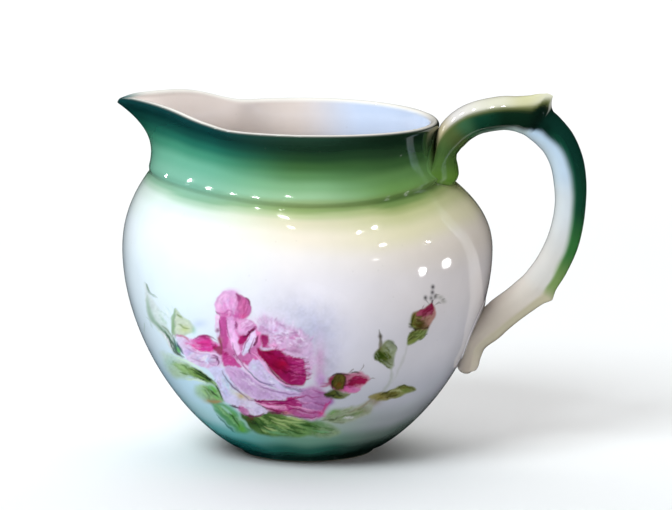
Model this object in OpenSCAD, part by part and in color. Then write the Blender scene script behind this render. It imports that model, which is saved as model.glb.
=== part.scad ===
// Porcelain cream jug: a bellied bowl with a flared collar and a pinched lip, a scroll
// handle stuck on with slip, a turned foot, and a rose spray in fired-on transfers.
// Millimetres. +Z is up, +X points along the handle and -X along the lip.
// The origin is on the bowl's axis, on the surface that the jug stands on.

/* [Bowl] */
// Widest outside diameter of the bowl
belly_d = 96; // [93:0.5:99]
// Height of the widest part
belly_z = 52.8; // [50:0.2:55]
// Power that swells the lower curve below the widest part
lower_swell = 1.84; // [1.7:0.02:2]
// Power that rounds the lower curve into the foot
lower_round = 1.4; // [1.3:0.02:1.5]
// Power of the shoulder's curve, higher for a squarer shoulder
shoulder_power = 2.2; // [2:0.1:2.5]
// Thickness of the cast wall
wall = 2.6; // [2.2:0.1:2.8]

/* [Foot] */
// Outside diameter of the foot ring
foot_d = 34.8; // [33:0.2:36]
// Height of the foot ring
foot_h = 1.8; // [1.4:0.1:2.2]
// Width of the foot ring's wall
foot_w = 3.4; // [2.8:0.1:4]

/* [Collar] */
// Outside diameter of the rim
rim_d = 68.2; // [66:0.2:70]
// Height of the rim at the jug's sides
rim_z = 87.8; // [85:0.2:90]
// Outside diameter of the neck, the narrowest part of the collar
neck_d = 65.2; // [63:0.2:66]
// Mean diameter of the crease where the collar meets the shoulder
crease_d = 76.6; // [75:0.2:78]
// Mean height of that crease
crease_z = 71.4; // [70:0.2:72.5]
// How far the crease is drawn out towards the lip
crease_shift = 2.6; // [2:0.2:3.4]
// How far the rounded ridge above the crease stands out
ridge_out = 0.5; // [0.3:0.1:0.7]

/* [Lip] */
// Distance of the lip's tip from the bowl's axis
lip_reach = 49.6; // [48:0.2:51]
// Rise of the pinched lip above the rim
lip_rise = 4.6; // [3:0.2:6]
// Half angle of the pinch, seen from above, at the rim
pinch = 48.4; // [46:0.2:50]
// How far the throat under the lip stands out from the neck
throat_out = 7; // [6:0.2:8.4]

/* [Handle] */
// Width of the handle's strap
strap_w = 9.6; // [8:0.2:11]
// Thickness of the handle's strap, seen from the side
strap_t = 8.4; // [7.6:0.1:9]
// Height of the thumb spur above the strap
spur_h = 3.6; // [2:0.1:4.2]

/* [Transfers] */
// Thickness of a fired-on transfer
film_t = 0.3; // [0.2:0.05:0.4]
// Bearing of the rose spray's middle, from the jug's side towards the handle
spray_bearing = 7; // [0:1:14]
// Downward tilt of the view that the spray is drawn in
spray_tilt = 10; // [6:1:14]

/* [Hidden] */
// Where the eye is when the spray is drawn: how far off, how far to the right of the
// jug's axis and how high; and the sheet's size beside the jug's at the axis
eye_distance = 1240;
eye_side = 7.4;
eye_height = 50.4;
sheet_scale = 1.038;

belly_r = belly_d / 2;
rim_r = rim_d / 2;
neck_r = neck_d / 2;
base_r = 15.3;          // radius that the lower curve would have at height 0
lip_t = wall / 2;       // radius of the rounded edge of the rim

// ---- Outline of the bowl ----
// Angles are bearings from the lip: 0 at the lip, 90 on the -Y side, 180 at the handle.

function crease_radius(a) = crease_d / 2 + crease_shift * cos(a);
function crease_height(a) = crease_z + 0.9 * cos(a) + 1.5 * cos(2 * a) - 0.4 * cos(3 * a);
// The ridge fades out under the lip.
function ridge_relief(a) = ridge_out * (1 - 0.85 * exp(-pow(a / 40, 2)));
function ridge_radius(a) = crease_radius(a) + ridge_relief(a);
function ridge_height(a) = crease_height(a) + 1.5;

// Height of the rim: level at the sides, raised along the pinched lip, a little low
// at the handle, with the very tip turned down.
function rim_height(a) = rim_z + lip_rise / (1 + exp((abs(a) - 36) / 6))
    - 1.1 * pow(sin(a / 2), 6) - 0.8 * exp(-pow(a / 3.5, 2));

// Plan of the rim: straight sides run from the tip to the round rim, swell a little
// on the way and sink into a soft fold where they meet it.
function rim_radius(a) =
    let (b = sqrt(a * a + 4), side = max(pinch - b, 0),
         reach = rim_r / cos(side), full = rim_r / cos(pinch - 2))
    rim_r + (reach - rim_r) * (lip_reach - rim_r) / (full - rim_r)
    + (b < pinch ? 1.9 * pow(sin(180 * b / pinch), 2) : 0)
    - 1.1 * exp(-pow((b - 50) / 9, 2));

// Plan of the neck, under the rim: a rounder bulge below the lip.
function neck_radius(a) = neck_r + throat_out * exp(-pow(a / 30, 2));

function lower_radius(z) =
    base_r + (belly_r - base_r) * pow(1 - pow(1 - z / belly_z, lower_swell), 1 / lower_round);
function lower_slope(z) = (lower_radius(z + 0.05) - lower_radius(z - 0.05)) / 0.1;

function shoulder(a, t) = [belly_r - (belly_r - crease_radius(a)) * pow(t, shoulder_power),
                           belly_z + (crease_height(a) - belly_z) * t];
function shoulder_slope(a, t) =
    let (p = shoulder(a, t - 0.01), q = shoulder(a, t + 0.01)) (q[0] - p[0]) / (q[1] - p[1]);

function collar(a, t) =
    let (low = ridge_radius(a), neck = neck_radius(a), top = rim_height(a) - lip_t)
    [low + (neck - low) * (1 - pow(1 - t, 2.5)) + (rim_radius(a) - neck) * pow(t, 2.2),
     ridge_height(a) + (top - ridge_height(a)) * t];

// A point moved inwards, square to the outline, by d.
function inwards(p, slope, d) =
    let (l = sqrt(1 + slope * slope)) [p[0] - d / l, p[1] + d * slope / l];

// Radius of the outside surface at any bearing and height.
function skin(a, z) =
    z < belly_z ? lower_radius(z)
    : z < crease_height(a) ? shoulder(a, (z - belly_z) / (crease_height(a) - belly_z))[0]
    : z < ridge_height(a) ? ridge_radius(a)
    : collar(a, (z - ridge_height(a)) / (rim_height(a) - lip_t - ridge_height(a)))[0];

// One upright section through the wall, from the underside, up the outside, over the
// rim and down the inside to the floor.
outer_heights = [2.4, 3.4, 5, 7, 9.5, 12.5, 16, 20, 24.5, 29.5, 35, 41, 47];
inner_heights = [47, 40, 33, 27, 21.5, 16.5, 12.5, 9.5, 7, 5, 3.6];
function section(a) = concat(
    [[foot_d / 2 + 0.4, foot_h]],
    [for (z = outer_heights) [lower_radius(z), z]],
    [for (t = [0:0.125:1]) shoulder(a, t)],
    [[crease_radius(a) + 0.3 * ridge_relief(a), crease_height(a) + 0.4],
     [crease_radius(a) + 0.8 * ridge_relief(a), crease_height(a) + 0.9]],
    [for (t = [0:0.1:1]) collar(a, t)],
    [for (b = [30:30:180]) collar(a, 1) + lip_t * [cos(b) - 1, sin(b)]],
    [for (t = [0.86:-0.14:0.1]) collar(a, t) - [wall, 0]],
    [for (t = [0.94:-0.14:0.1]) inwards(shoulder(a, t), shoulder_slope(a, t), wall)],
    [for (z = inner_heights) inwards([lower_radius(z), z], lower_slope(z), wall)]
);

// Bearings of the sections, closer together at the lip.
half_turn = concat([for (k = [0:13]) 60 * pow(k / 14, 1.35)], [for (a = [60:6:180]) a]);
bearings = concat(half_turn, [for (k = [len(half_turn) - 2:-1:1]) -half_turn[k]]);

function at(a, r, z) = [-r * cos(a), -r * sin(a), z];

// Closed solid from a grid of points: rows run round, and the first and last rows are
// closed with a fan about one point each.
module lathe_mesh(rows, first, last) {
    n = len(rows[0]);
    m = len(rows);
    points = concat([for (row = rows) each row], [first, last]);
    polyhedron(points, concat(
        [for (i = [0:m - 2], j = [0:n - 1]) let (k = (j + 1) % n)
            each [[i * n + j, (i + 1) * n + j, (i + 1) * n + k],
                  [i * n + j, (i + 1) * n + k, i * n + k]]],
        [for (j = [0:n - 1]) [m * n, j, (j + 1) % n]],
        [for (j = [0:n - 1]) [m * n + 1, (m - 1) * n + (j + 1) % n, (m - 1) * n + j]]
    ), convexity = 6);
}

module body() {
    sections = [for (a = bearings) section(a)];
    rows = [for (i = [0:len(sections[0]) - 1])
        [for (j = [0:len(bearings) - 1]) at(bearings[j], sections[j][i][0], sections[j][i][1])]];
    color("ivory") lathe_mesh(rows, [0, 0, foot_h], [0, 0, foot_h + wall + 0.8]);
}

module foot_ring() {
    r = foot_d / 2;
    edge = 0.7;
    color("tan") rotate_extrude($fn = 96) polygon(concat(
        [for (b = [-90:15:0]) [r - edge + edge * cos(b), edge + edge * sin(b)]],
        [[r, foot_h], [r - foot_w, foot_h]],
        [for (b = [180:15:270]) [r - foot_w + edge + edge * cos(b), edge + edge * sin(b)]]
    ));
}

// ---- Handle ----
// Stations along the strap, from the drop on the collar, over the top, to the drop on
// the bowl: x, z, then the half thickness on the left of the direction of travel, the
// half thickness on its right, the half width, and how closely it wraps the bowl.
half_t = strap_t / 2;
half_w = strap_w / 2;
stations = [
    [37.6, 70.3, 0.6, 0.6, 1.5, 0.0],
    [37.2, 71.3, 1.5, 1.7, 6.5, 1.6],
    [36.9, 72.8, 1.9, 2.4, 10.5, 1.9],
    [36.7, 74.8, 2.1, 2.4, 11.6, 1.9],
    [36.3, 77.0, 2.3, 2.4, 9.8, 1.6],
    [36.2, 79.5, 2.6, 3.1, 8.0, 1.3],
    [37.3, 82.6, 4.0, 3.9, 6.8, 1.0],
    [40.0, 85.6, 4.3, 4.1, 6.0, 0.4],
    [44.0, 87.9, 4.3, 4.2, half_w + 0.4, 0],
    [50.0, 89.2, half_t + 0.2, 4.3, half_w + 0.2, 0],
    [54.0, 89.1, half_t + 0.5, 4.4, half_w, 0],
    [57.0, 88.3, half_t + 0.6 * spur_h, 4.5, half_w, 0],
    [58.4, 87.7, half_t + spur_h, 4.5, half_w, 0],
    [59.2, 87.2, half_t + spur_h, 4.5, half_w, 0],
    [59.8, 86.8, half_t + 0.4 * spur_h, 4.5, half_w, 0],
    [60.4, 86.3, half_t + 0.7, 4.5, half_w, 0],
    [62.0, 84.9, half_t + 0.6, 4.4, half_w, 0],
    [64.8, 81.6, half_t + 0.5, 4.2, half_w, 0],
    [66.9, 76.8, half_t + 0.4, 4.0, half_w, 0],
    [68.0, 71.5, half_t + 0.1, 4.1, half_w, 0],
    [68.2, 66.4, half_t - 0.2, 4.0, half_w, 0],
    [67.6, 60.9, half_t - 0.2, 4.1, half_w, 0],
    [66.1, 55.4, half_t, 4.2, half_w, 0],
    [63.5, 49.8, half_t + 0.1, 4.3, half_w, 0],
    [61.0, 46.0, half_t + 0.3, 4.4, half_w, 0],
    [59.7, 44.4, half_t + 1.2, 4.4, half_w, 0],
    [58.4, 43.1, half_t + 0.3, 4.4, half_w, 0],
    [54.6, 39.9, half_t - 0.1, 4.3, half_w, 0],
    [50.4, 36.5, half_t - 0.1, 4.4, half_w + 0.8, 0.2],
    [46.9, 33.2, half_t - 0.1, 4.0, half_w + 3.2, 1.2],
    [44.0, 29.4, 3.0, 3.2, half_w + 2.0, 1.3],
    [42.6, 26.0, 2.8, 2.6, half_w - 0.3, 1.0],
    [41.9, 23.7, 2.9, 2.6, half_w - 0.9, 0.6],
    [41.6, 22.1, 2.4, 2.3, half_w - 1.6, 0.3],
    [41.6, 21.0, 0.8, 0.8, 1.0, 0],
];

// Smooth curve through the stations, as a list with steps points between each pair.
function pick(list, i) = list[min(max(i, 0), len(list) - 1)];
function between(p0, p1, p2, p3, t) = 0.5 * (2 * p1 + (p2 - p0) * t
    + (2 * p0 - 5 * p1 + 4 * p2 - p3) * t * t + (3 * p1 - p0 - 3 * p2 + p3) * t * t * t);
function smooth(list, steps) = concat(
    [for (i = [0:len(list) - 2], k = [0:steps - 1])
        between(pick(list, i - 1), list[i], list[i + 1], pick(list, i + 2), k / steps)],
    [list[len(list) - 1]]);

// One rounded cross-section of the strap at a station, heading in direction d. The side
// that faces out narrows towards its crest where the spur stands up.
strap_sides = 20;
wrap_r = 36;
function strap_ring(s, d) =
    [for (k = [0:strap_sides - 1])
        let (b = 360 * k / strap_sides, out = sin(b) > 0,
             crest = max(s[2] - half_t - 0.3, 0) / 4,
             y = s[4] * cos(b) * (1 - (out ? crest * sin(b) : 0)),
             h = (out ? s[2] : s[3]) * sin(b))
        [s[0] - d[1] * h - s[5] * y * y / (2 * wrap_r), y, s[1] + d[0] * h]];

module handle() {
    path = smooth(stations, 2);
    m = len(path);
    rows = [for (i = [0:m - 1])
        let (p = pick(path, i - 1), q = pick(path, i + 1),
             d = [q[0] - p[0], q[1] - p[1]])
        strap_ring(path[i], d / norm(d))];
    first = path[0];
    last = path[m - 1];
    color("honeydew") lathe_mesh(rows, [first[0], 0, first[1] - 0.2], [last[0], 0, last[1] - 0.2]);
}

// ---- Pieces that lie on the bowl ----
// A thin solid that follows the outside surface under an outline. The outline's points
// are joined to its middle, and each is [bearing, height]. It is sunk into the surface
// by under and stands over it by over, and thins at its edge to edge times over.
module on_skin(middle, outline, over, under, edge = 1, rings = 5) {
    function lift(a, z, h) = at(a, skin(a, z) + h, z);
    n = len(outline);
    function spoke(k, j) = middle + (outline[j] - middle) * k / rings;
    function sheet(h, thin) = [for (k = [1:rings], j = [0:n - 1])
        let (p = spoke(k, j)) lift(p[0], p[1], h * (thin ? 1 - (1 - edge) * pow(k / rings, 2) : 1))];
    top = sheet(over, true);
    bottom = sheet(-under, false);
    m = n * rings;
    points = concat(top, bottom, [lift(middle[0], middle[1], over), lift(middle[0], middle[1], -under)]);
    polyhedron(points, concat(
        [for (k = [0:rings - 2], j = [0:n - 1]) let (i = (j + 1) % n, p = k * n)
            each [[p + j, p + n + j, p + n + i], [p + j, p + n + i, p + i],
                  [m + p + j, m + p + n + i, m + p + n + j], [m + p + j, m + p + i, m + p + n + i]]],
        [for (j = [0:n - 1]) let (i = (j + 1) % n, p = m - n)
            each [[p + j, m + p + j, m + p + i], [p + j, m + p + i, p + i]]],
        [for (j = [0:n - 1]) let (i = (j + 1) % n)
            each [[2 * m, j, i], [2 * m + 1, m + i, m + j]]]
    ), convexity = 4);
}

// Slip pressed out round a terminal of the handle: an egg-shaped pad on the far side
// of the bowl from the lip, w_low wide below its middle and w_high wide above it.
module slip_pad(z, w_low, w_high, down, up) {
    r = skin(180, z);
    on_skin([180, z], [for (b = [0:15:345])
        let (w = sin(b) < 0 ? w_low : w_low + (w_high - w_low) * sin(b))
        [180 - asin(w * cos(b) / r), z + (sin(b) < 0 ? down : up) * sin(b)]],
        0.5, 0.4, 0.2);
}

module upper_handle_joint() {
    color("honeydew") slip_pad(76, 12.4, 7.4, 6, 9);
}

module lower_handle_joint() {
    color("ivory") slip_pad(33, 8.8, 8.2, 8.5, 7.5);
}

// ---- Transfers ----
// The spray is drawn on a flat sheet, u to the right and v up, as it is seen from the
// jug's side with the eye at eye_distance. These functions find where a point of the
// sheet lies on the bowl: what is nearer to the eye than the jug's axis looks larger.
function settle(p, x, z, turns) = turns == 0 ? [x, z]
    : let (r = lower_radius(min(z, belly_z)), out = sqrt(r * r - x * x),
           nearer = out * cos(spray_tilt) + (z - eye_height) * sin(spray_tilt),
           scale = 1 - nearer / eye_distance,
           up = eye_height + (sheet_scale * p[1] - eye_height) * scale)
      settle(p, eye_side + (sheet_scale * p[0] - eye_side) * scale,
             (up + out * sin(spray_tilt)) / cos(spray_tilt), turns - 1);
function draped(p) =
    let (spot = settle(p, p[0], p[1] + 8, 14), r = lower_radius(min(spot[1], belly_z)))
    [90 + spray_bearing + asin(spot[0] / r), spot[1]];

module transfer(middle, outline) {
    on_skin(draped(middle), [for (p = outline) draped(p)], film_t, 0.2, 1, 6);
}

// A leaf from its stalk to its tip, widest before its middle.
module leaf(stalk, tip, half_width) {
    run = tip - stalk;
    side = [-run[1], run[0]] / norm(run);
    transfer(stalk + 0.45 * run, concat(
        [for (t = [0:0.125:1]) stalk + t * run + half_width * sin(180 * pow(t, 0.85)) * side],
        [for (t = [0.875:-0.125:0.125]) stalk + t * run - half_width * sin(180 * pow(t, 0.85)) * side]));
}

module rose_transfer() {
    color("palevioletred") transfer([-14.4, 23.5], [
        [-18.9, 40.5], [-15.4, 39.5], [-13.4, 36.5], [-12.9, 32.8], [-8, 32.8], [-4, 32.6],
        [0.1, 29.8], [3.4, 26], [6.6, 22.2], [6.2, 16], [7.6, 12.2], [3.6, 8], [-1.9, 7.2],
        [-9.4, 9.7], [-15.4, 7.7], [-19.9, 12.2], [-24.9, 18.5], [-31.6, 24.2], [-33.2, 28.4],
        [-26.9, 29.6], [-23.4, 32.8], [-23.9, 37.2], [-21.9, 39.8]]);
}

module left_leaf_transfer() {
    color("darkseagreen") {
        leaf([-31.4, 22.6], [-41.4, 42.4], 1.6);
        leaf([-29.8, 30.6], [-33.4, 36], 2);
        leaf([-20.4, 14.2], [-32.2, 21.8], 2.2);
    }
}

module lower_leaf_transfer() {
    color("olivedrab") {
        leaf([-12.4, 5.4], [-24.4, 13], 2);
        leaf([-9.6, 7.6], [-0.6, 3.4], 1.8);
        leaf([-0.4, 5.8], [11, 2.6], 1.9);
    }
}

module right_leaf_transfer() {
    color("darkkhaki") {
        leaf([8.4, 8.4], [21.8, 11.4], 2.2);
        leaf([18.6, 13.2], [27, 15.4], 1.2);
    }
}

module lower_bud_transfer() {
    color("mediumvioletred") leaf([7.6, 16.2], [16.4, 18.2], 2.4);
}

module middle_bud_transfer() {
    color("darkolivegreen") leaf([21.4, 20.4], [17.6, 29.4], 2.2);
}

module upper_bud_transfer() {
    color("mediumvioletred") leaf([24.6, 26.8], [31.6, 37.2], 2.4);
}

body();
foot_ring();
handle();
upper_handle_joint();
lower_handle_joint();
rose_transfer();
left_leaf_transfer();
lower_leaf_transfer();
right_leaf_transfer();
lower_bud_transfer();
middle_bud_transfer();
upper_bud_transfer();
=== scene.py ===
"""A porcelain cream jug: glazed bowl, foot, scroll handle and a rose spray in transfers.

The shapes repeat the formulas that the CAD model is made from, on a finer grid, in
millimetres, and are scaled to metres as they become meshes. Angles are bearings in
degrees from the lip: 0 at the lip, 90 on the decorated side (-Y), 180 at the handle.
"""
import math

import bpy
import numpy as np
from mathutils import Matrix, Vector


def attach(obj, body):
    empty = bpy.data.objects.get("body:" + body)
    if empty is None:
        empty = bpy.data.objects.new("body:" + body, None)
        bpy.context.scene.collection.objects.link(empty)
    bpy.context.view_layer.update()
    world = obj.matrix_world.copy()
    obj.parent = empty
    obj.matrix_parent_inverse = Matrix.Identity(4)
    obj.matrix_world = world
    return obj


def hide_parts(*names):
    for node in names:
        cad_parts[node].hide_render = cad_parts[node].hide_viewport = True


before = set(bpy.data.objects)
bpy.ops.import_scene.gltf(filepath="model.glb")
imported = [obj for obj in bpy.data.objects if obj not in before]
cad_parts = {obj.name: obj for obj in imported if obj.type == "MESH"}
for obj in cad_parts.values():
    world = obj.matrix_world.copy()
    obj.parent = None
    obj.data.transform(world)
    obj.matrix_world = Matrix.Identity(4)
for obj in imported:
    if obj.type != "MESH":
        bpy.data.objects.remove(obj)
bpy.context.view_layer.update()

MM = 0.001

# ---------------------------------------------------------------- outline of the bowl

BELLY_R, BELLY_Z = 48.0, 52.8
LOWER_SWELL, LOWER_ROUND, BASE_R = 1.84, 1.4, 15.3
SHOULDER_POWER = 2.2
WALL = 2.6
FOOT_R, FOOT_H, FOOT_W = 17.4, 1.8, 3.4
RIM_R, RIM_Z, NECK_R = 34.1, 87.8, 32.6
CREASE_R, CREASE_Z, CREASE_SHIFT, RIDGE_OUT = 38.3, 71.4, 2.6, 0.5
LIP_REACH, LIP_RISE, PINCH, THROAT_OUT = 49.6, 4.6, 48.4, 7.0
LIP_T = WALL / 2


def cos(a):
    return np.cos(np.radians(a))


def sin(a):
    return np.sin(np.radians(a))


def crease_radius(a):
    return CREASE_R + CREASE_SHIFT * cos(a)


def crease_height(a):
    return CREASE_Z + 0.9 * cos(a) + 1.5 * cos(2 * a) - 0.4 * cos(3 * a)


def ridge_relief(a):
    return RIDGE_OUT * (1 - 0.85 * np.exp(-(a / 40) ** 2))


def ridge_radius(a):
    return crease_radius(a) + ridge_relief(a)


def ridge_height(a):
    return crease_height(a) + 1.5


def rim_height(a):
    raised = LIP_RISE / (1 + np.exp((np.abs(a) - 36) / 6))
    return RIM_Z + raised - 1.1 * sin(a / 2) ** 6 - 0.8 * np.exp(-(a / 3.5) ** 2)


def rim_radius(a):
    b = np.sqrt(a * a + 4)
    reach = RIM_R / cos(np.maximum(PINCH - b, 0))
    full = RIM_R / cos(PINCH - 2)
    straight = RIM_R + (reach - RIM_R) * (LIP_REACH - RIM_R) / (full - RIM_R)
    swell = np.where(b < PINCH, 1.9 * sin(180 * b / PINCH) ** 2, 0)
    return straight + swell - 1.1 * np.exp(-((b - 50) / 9) ** 2)


def neck_radius(a):
    return NECK_R + THROAT_OUT * np.exp(-(a / 30) ** 2)


def lower_radius(z):
    rise = np.clip(1 - z / BELLY_Z, 0, 1)
    return BASE_R + (BELLY_R - BASE_R) * (1 - rise ** LOWER_SWELL) ** (1 / LOWER_ROUND)


def lower_slope(z):
    return (lower_radius(z + 0.05) - lower_radius(z - 0.05)) / 0.1


def shoulder(a, t):
    return (BELLY_R - (BELLY_R - crease_radius(a)) * t ** SHOULDER_POWER,
            BELLY_Z + (crease_height(a) - BELLY_Z) * t)


def shoulder_slope(a, t):
    (r0, z0), (r1, z1) = shoulder(a, t - 0.01), shoulder(a, t + 0.01)
    return (r1 - r0) / (z1 - z0)


def collar(a, t):
    low, neck, top = ridge_radius(a), neck_radius(a), rim_height(a) - LIP_T
    r = low + (neck - low) * (1 - (1 - t) ** 2.5) + (rim_radius(a) - neck) * t ** 2.2
    return r, ridge_height(a) + (top - ridge_height(a)) * t


def inwards(r, z, slope, d):
    length = np.sqrt(1 + slope * slope)
    return r - d / length, z + d * slope / length


def skin(a, z):
    """Radius of the outside surface at any bearing and height."""
    crease, ridge, top = crease_height(a), ridge_height(a), rim_height(a) - LIP_T
    t_shoulder = np.clip((z - BELLY_Z) / (crease - BELLY_Z), 0, 1)
    t_collar = np.clip((z - ridge) / (top - ridge), 0, 1)
    fillet = crease_radius(a) + ridge_relief(a) * np.clip((z - crease) / 1.5, 0, 1)
    r = np.where(z < crease, shoulder(a, t_shoulder)[0], fillet)
    r = np.where(z < BELLY_Z, lower_radius(np.clip(z, 0, BELLY_Z)), r)
    return np.where(z > ridge, collar(a, t_collar)[0], r)


def at(a, r, z):
    """Points in the jug's frame, in millimetres."""
    return np.stack(np.broadcast_arrays(-r * cos(a), -r * sin(a), z), axis=-1)


# ---------------------------------------------------------------- noise and blending

def ramp(x, *stops):
    """Colours or numbers at x, blended smoothly between (place, value) stops."""
    x = np.asarray(x, float)
    places = np.array([s[0] for s in stops], float)
    values = np.array([np.atleast_1d(s[1]) for s in stops], float)
    i = np.clip(np.searchsorted(places, x, side="right") - 1, 0, len(places) - 2)
    t = np.clip((x - places[i]) / (places[i + 1] - places[i]), 0, 1)
    t = (t * t * (3 - 2 * t))[..., None]
    out = values[i] * (1 - t) + values[i + 1] * t
    return out[..., 0] if out.shape[-1] == 1 else out


def mix(a, b, t):
    """Two colours, or arrays of them, blended by t from a to b."""
    t = np.asarray(t, float)[..., None]
    return a * (1 - t) + b * t


def step(x, low, high):
    """0 below low, 1 above high, smooth between."""
    t = np.clip((x - low) / (high - low), 0, 1)
    return t * t * (3 - 2 * t)


def noise(x, y, size, seed):
    """Smooth value noise from 0 to 1, with blobs about size across."""
    table = np.random.default_rng(seed).random((64, 64))
    x, y = np.asarray(x) / size, np.asarray(y) / size
    i, j = np.floor(x).astype(int), np.floor(y).astype(int)
    fx, fy = x - i, y - j
    fx, fy = fx * fx * (3 - 2 * fx), fy * fy * (3 - 2 * fy)
    def corner(di, dj):
        return table[(i + di) % 64, (j + dj) % 64]
    near = corner(0, 0) * (1 - fx) + corner(1, 0) * fx
    far = corner(0, 1) * (1 - fx) + corner(1, 1) * fx
    return near * (1 - fy) + far * fy


# ---------------------------------------------------------------- ground colours, with painted light and shade

def rgb(colour):
    """A linear colour from one written as #rrggbb; one that is linear already stays as it is."""
    if not isinstance(colour, str):
        return colour
    c = np.array([*bytes.fromhex(colour[1:])], float) / 255
    return np.where(c <= 0.04045, c / 12.92, ((c + 0.055) / 1.055) ** 2.4)


def gradient(text):
    """Colour stops for ramp, written as "place #rrggbb, place #rrggbb"."""
    stops = [stop.split() for stop in text.split(",")]
    return [(float(place), rgb(colour)) for place, colour in stops]


# Sprayed grounds up the collar, from the ridge (0) to the rim (1), at three bearings. Partly painted light
# and shade: lighter low down where the collar faces up, bluer on the lip's side, darker on the handle's.
LIP_GREENS = gradient("0.0 #76ac94, 0.08 #80baa0, 0.3 #6cae92, 0.5 #428c70, 0.66 #226856, 0.8 #144a42, "
                      "0.93 #0a3634, 1.0 #0e3a3a")
SIDE_GREENS = gradient("0.0 #92aa76, 0.08 #98be92, 0.22 #80ac7c, 0.4 #588452, 0.55 #3c6236, 0.7 #244428, "
                       "0.85 #183222, 1.0 #203a2c")
HANDLE_GREENS = gradient("0.0 #6c8c4c, 0.1 #6a9250, 0.3 #5e864c, 0.5 #3c6034, 0.7 #264228, 0.9 #142c1c, "
                         "1.0 #14281a")
# The same below the ridge, by millimetres under the crease. Partly painted shade: darker green in the
# crease, greyer and darker on the handle's side.
LIP_SHOULDER = gradient("-0.6 #8ebea2, 0.6 #8eba9c, 1.6 #b4d2ba, 3.2 #deece2, 6.5 #eef8f4, 12.0 #f2fafe")
SIDE_SHOULDER = gradient("-0.6 #889e62, 0.6 #94aa6c, 1.6 #bcc694, 3.2 #e0d8b8, 6.5 #f0e4d0, 12.0 #eee6e2")
HANDLE_SHOULDER = gradient("-0.6 #68884a, 0.6 #768e50, 1.6 #a0aa6e, 3.2 #c4c492, 6.5 #ded6b2, 12.0 "
                           "#e4d8cc")
# The white of the bowl, shaded into green towards the foot, by height. Partly painted light and shade:
# darker towards the foot, greyer towards the handle, bluer on the lip's side.
LIP_BELLY_AND_SHADE = gradient("2.0 #125452, 4.5 #227470, 8.0 #76c4c4, 13.0 #bce6ee, 20.0 #ceeeff, 34.0 #e4f4ff, "
                     "50.0 #ecf8ff")
SIDE_BELLY_AND_SHADE = gradient("2.0 #1c5044, 4.5 #346e60, 8.0 #76a490, 13.0 #aac0b4, 20.0 #ccced8, 34.0 #e2deea, "
                      "50.0 #eee8ee")
HANDLE_BELLY_AND_SHADE = gradient("2.0 #142c24, 4.5 #2c423a, 8.0 #708078, 13.0 #a4a8ac, 20.0 #c0c0ca, 34.0 #d8d4da, "
                        "50.0 #e6dede")


def round_the_bowl(a, lip, side, handle):
    """Blends three colours by bearing: they hold near the lip, the side and the handle."""
    a = np.abs(a)
    return mix(mix(lip, side, step(a, 48, 96)), handle, step(a, 96, 136))


def ground(a, z):
    """The sprayed and glazed ground at any bearing and height outside, with painted light and shade mixed
    into its colours.
    """
    a, z = np.broadcast_arrays(np.abs(np.asarray(a, float)), np.asarray(z, float))
    crease, ridge, top = crease_height(a), ridge_height(a), rim_height(a) - LIP_T
    drift = (noise(a, z * 2.5, 17, 5) - 0.5) * 0.05
    t = np.clip((z - ridge) / (top - ridge), 0, 1) + drift
    greens = round_the_bowl(a, *(ramp(t, *g) for g in (LIP_GREENS, SIDE_GREENS, HANDLE_GREENS)))
    under = crease - z + (noise(a, z, 12, 6) - 0.5) * 1.2
    above = round_the_bowl(a, *(ramp(under, *g) for g in (LIP_SHOULDER, SIDE_SHOULDER, HANDLE_SHOULDER)))
    height = z + (noise(a, z, 14, 7) - 0.5) * 2.4
    below = round_the_bowl(a, *(ramp(height, *g) for g in (LIP_BELLY_AND_SHADE, SIDE_BELLY_AND_SHADE, HANDLE_BELLY_AND_SHADE)))
    bowl = mix(below, above, step(z, 50, 60))
    return mix(bowl, greens, step(z, crease + 0.2, ridge + 0.2))


def inner_glaze_and_reflections(a, z):
    """The glaze inside, with painted reflections: warm on the lip's side, faintly blue on the handle's."""
    warm, cool, deep = rgb("#f6e6dc"), rgb("#d6e4fc"), rgb("#f0ece6")
    a, z = np.broadcast_arrays(np.abs(np.asarray(a, float)), np.asarray(z, float))
    upper = mix(warm, cool, step(a, 74, 112))
    return mix(deep, upper, step(z, 40, 74))


# ---------------------------------------------------------------- painting on a flat sheet

def through(points, steps, closed=False):
    """A smooth line through the points, as a denser list of points."""
    p = np.array(points, float)
    if closed:
        p = np.vstack([p[-1], p, p[:2]])
    else:
        p = np.vstack([2 * p[0] - p[1], p, 2 * p[-1] - p[-2]])
    t = np.linspace(0, 1, steps, endpoint=False)[:, None]
    parts = [0.5 * (2 * b + (c - a) * t + (2 * a - 5 * b + 4 * c - d) * t ** 2
                    + (3 * b - a - 3 * c + d) * t ** 3)
             for a, b, c, d in zip(p, p[1:], p[2:], p[3:])]
    return np.vstack(parts if closed else parts + [p[-2]])


def to_line(u, v, line):
    """Distance from each point to a line of points, and how far along it that is, 0 to 1."""
    nearest, along = np.full(u.shape, 1e9), np.zeros(u.shape)
    for k, (a, b) in enumerate(zip(line, line[1:])):
        run = b - a
        t = np.clip(((u - a[0]) * run[0] + (v - a[1]) * run[1]) / max(run @ run, 1e-9), 0, 1)
        d = np.hypot(u - a[0] - t * run[0], v - a[1] - t * run[1])
        closer = d < nearest
        nearest, along = np.where(closer, d, nearest), np.where(closer, k + t, along)
    return nearest, along / (len(line) - 1)


def inside(u, v, line):
    """Whether each point lies within a closed line."""
    odd = np.zeros(u.shape, bool)
    for a, b in zip(line, np.roll(line, -1, axis=0)):
        crosses = (a[1] > v) != (b[1] > v)
        rise = b[1] - a[1] if b[1] != a[1] else 1e-9
        odd ^= crosses & (u < a[0] + (v - a[1]) / rise * (b[0] - a[0]))
    return odd


def read_points(text):
    """Points written as "u,v u,v", in millimetres to the right and up on the sheet."""
    return np.array([pair.split(",") for pair in text.split()], float)


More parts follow.
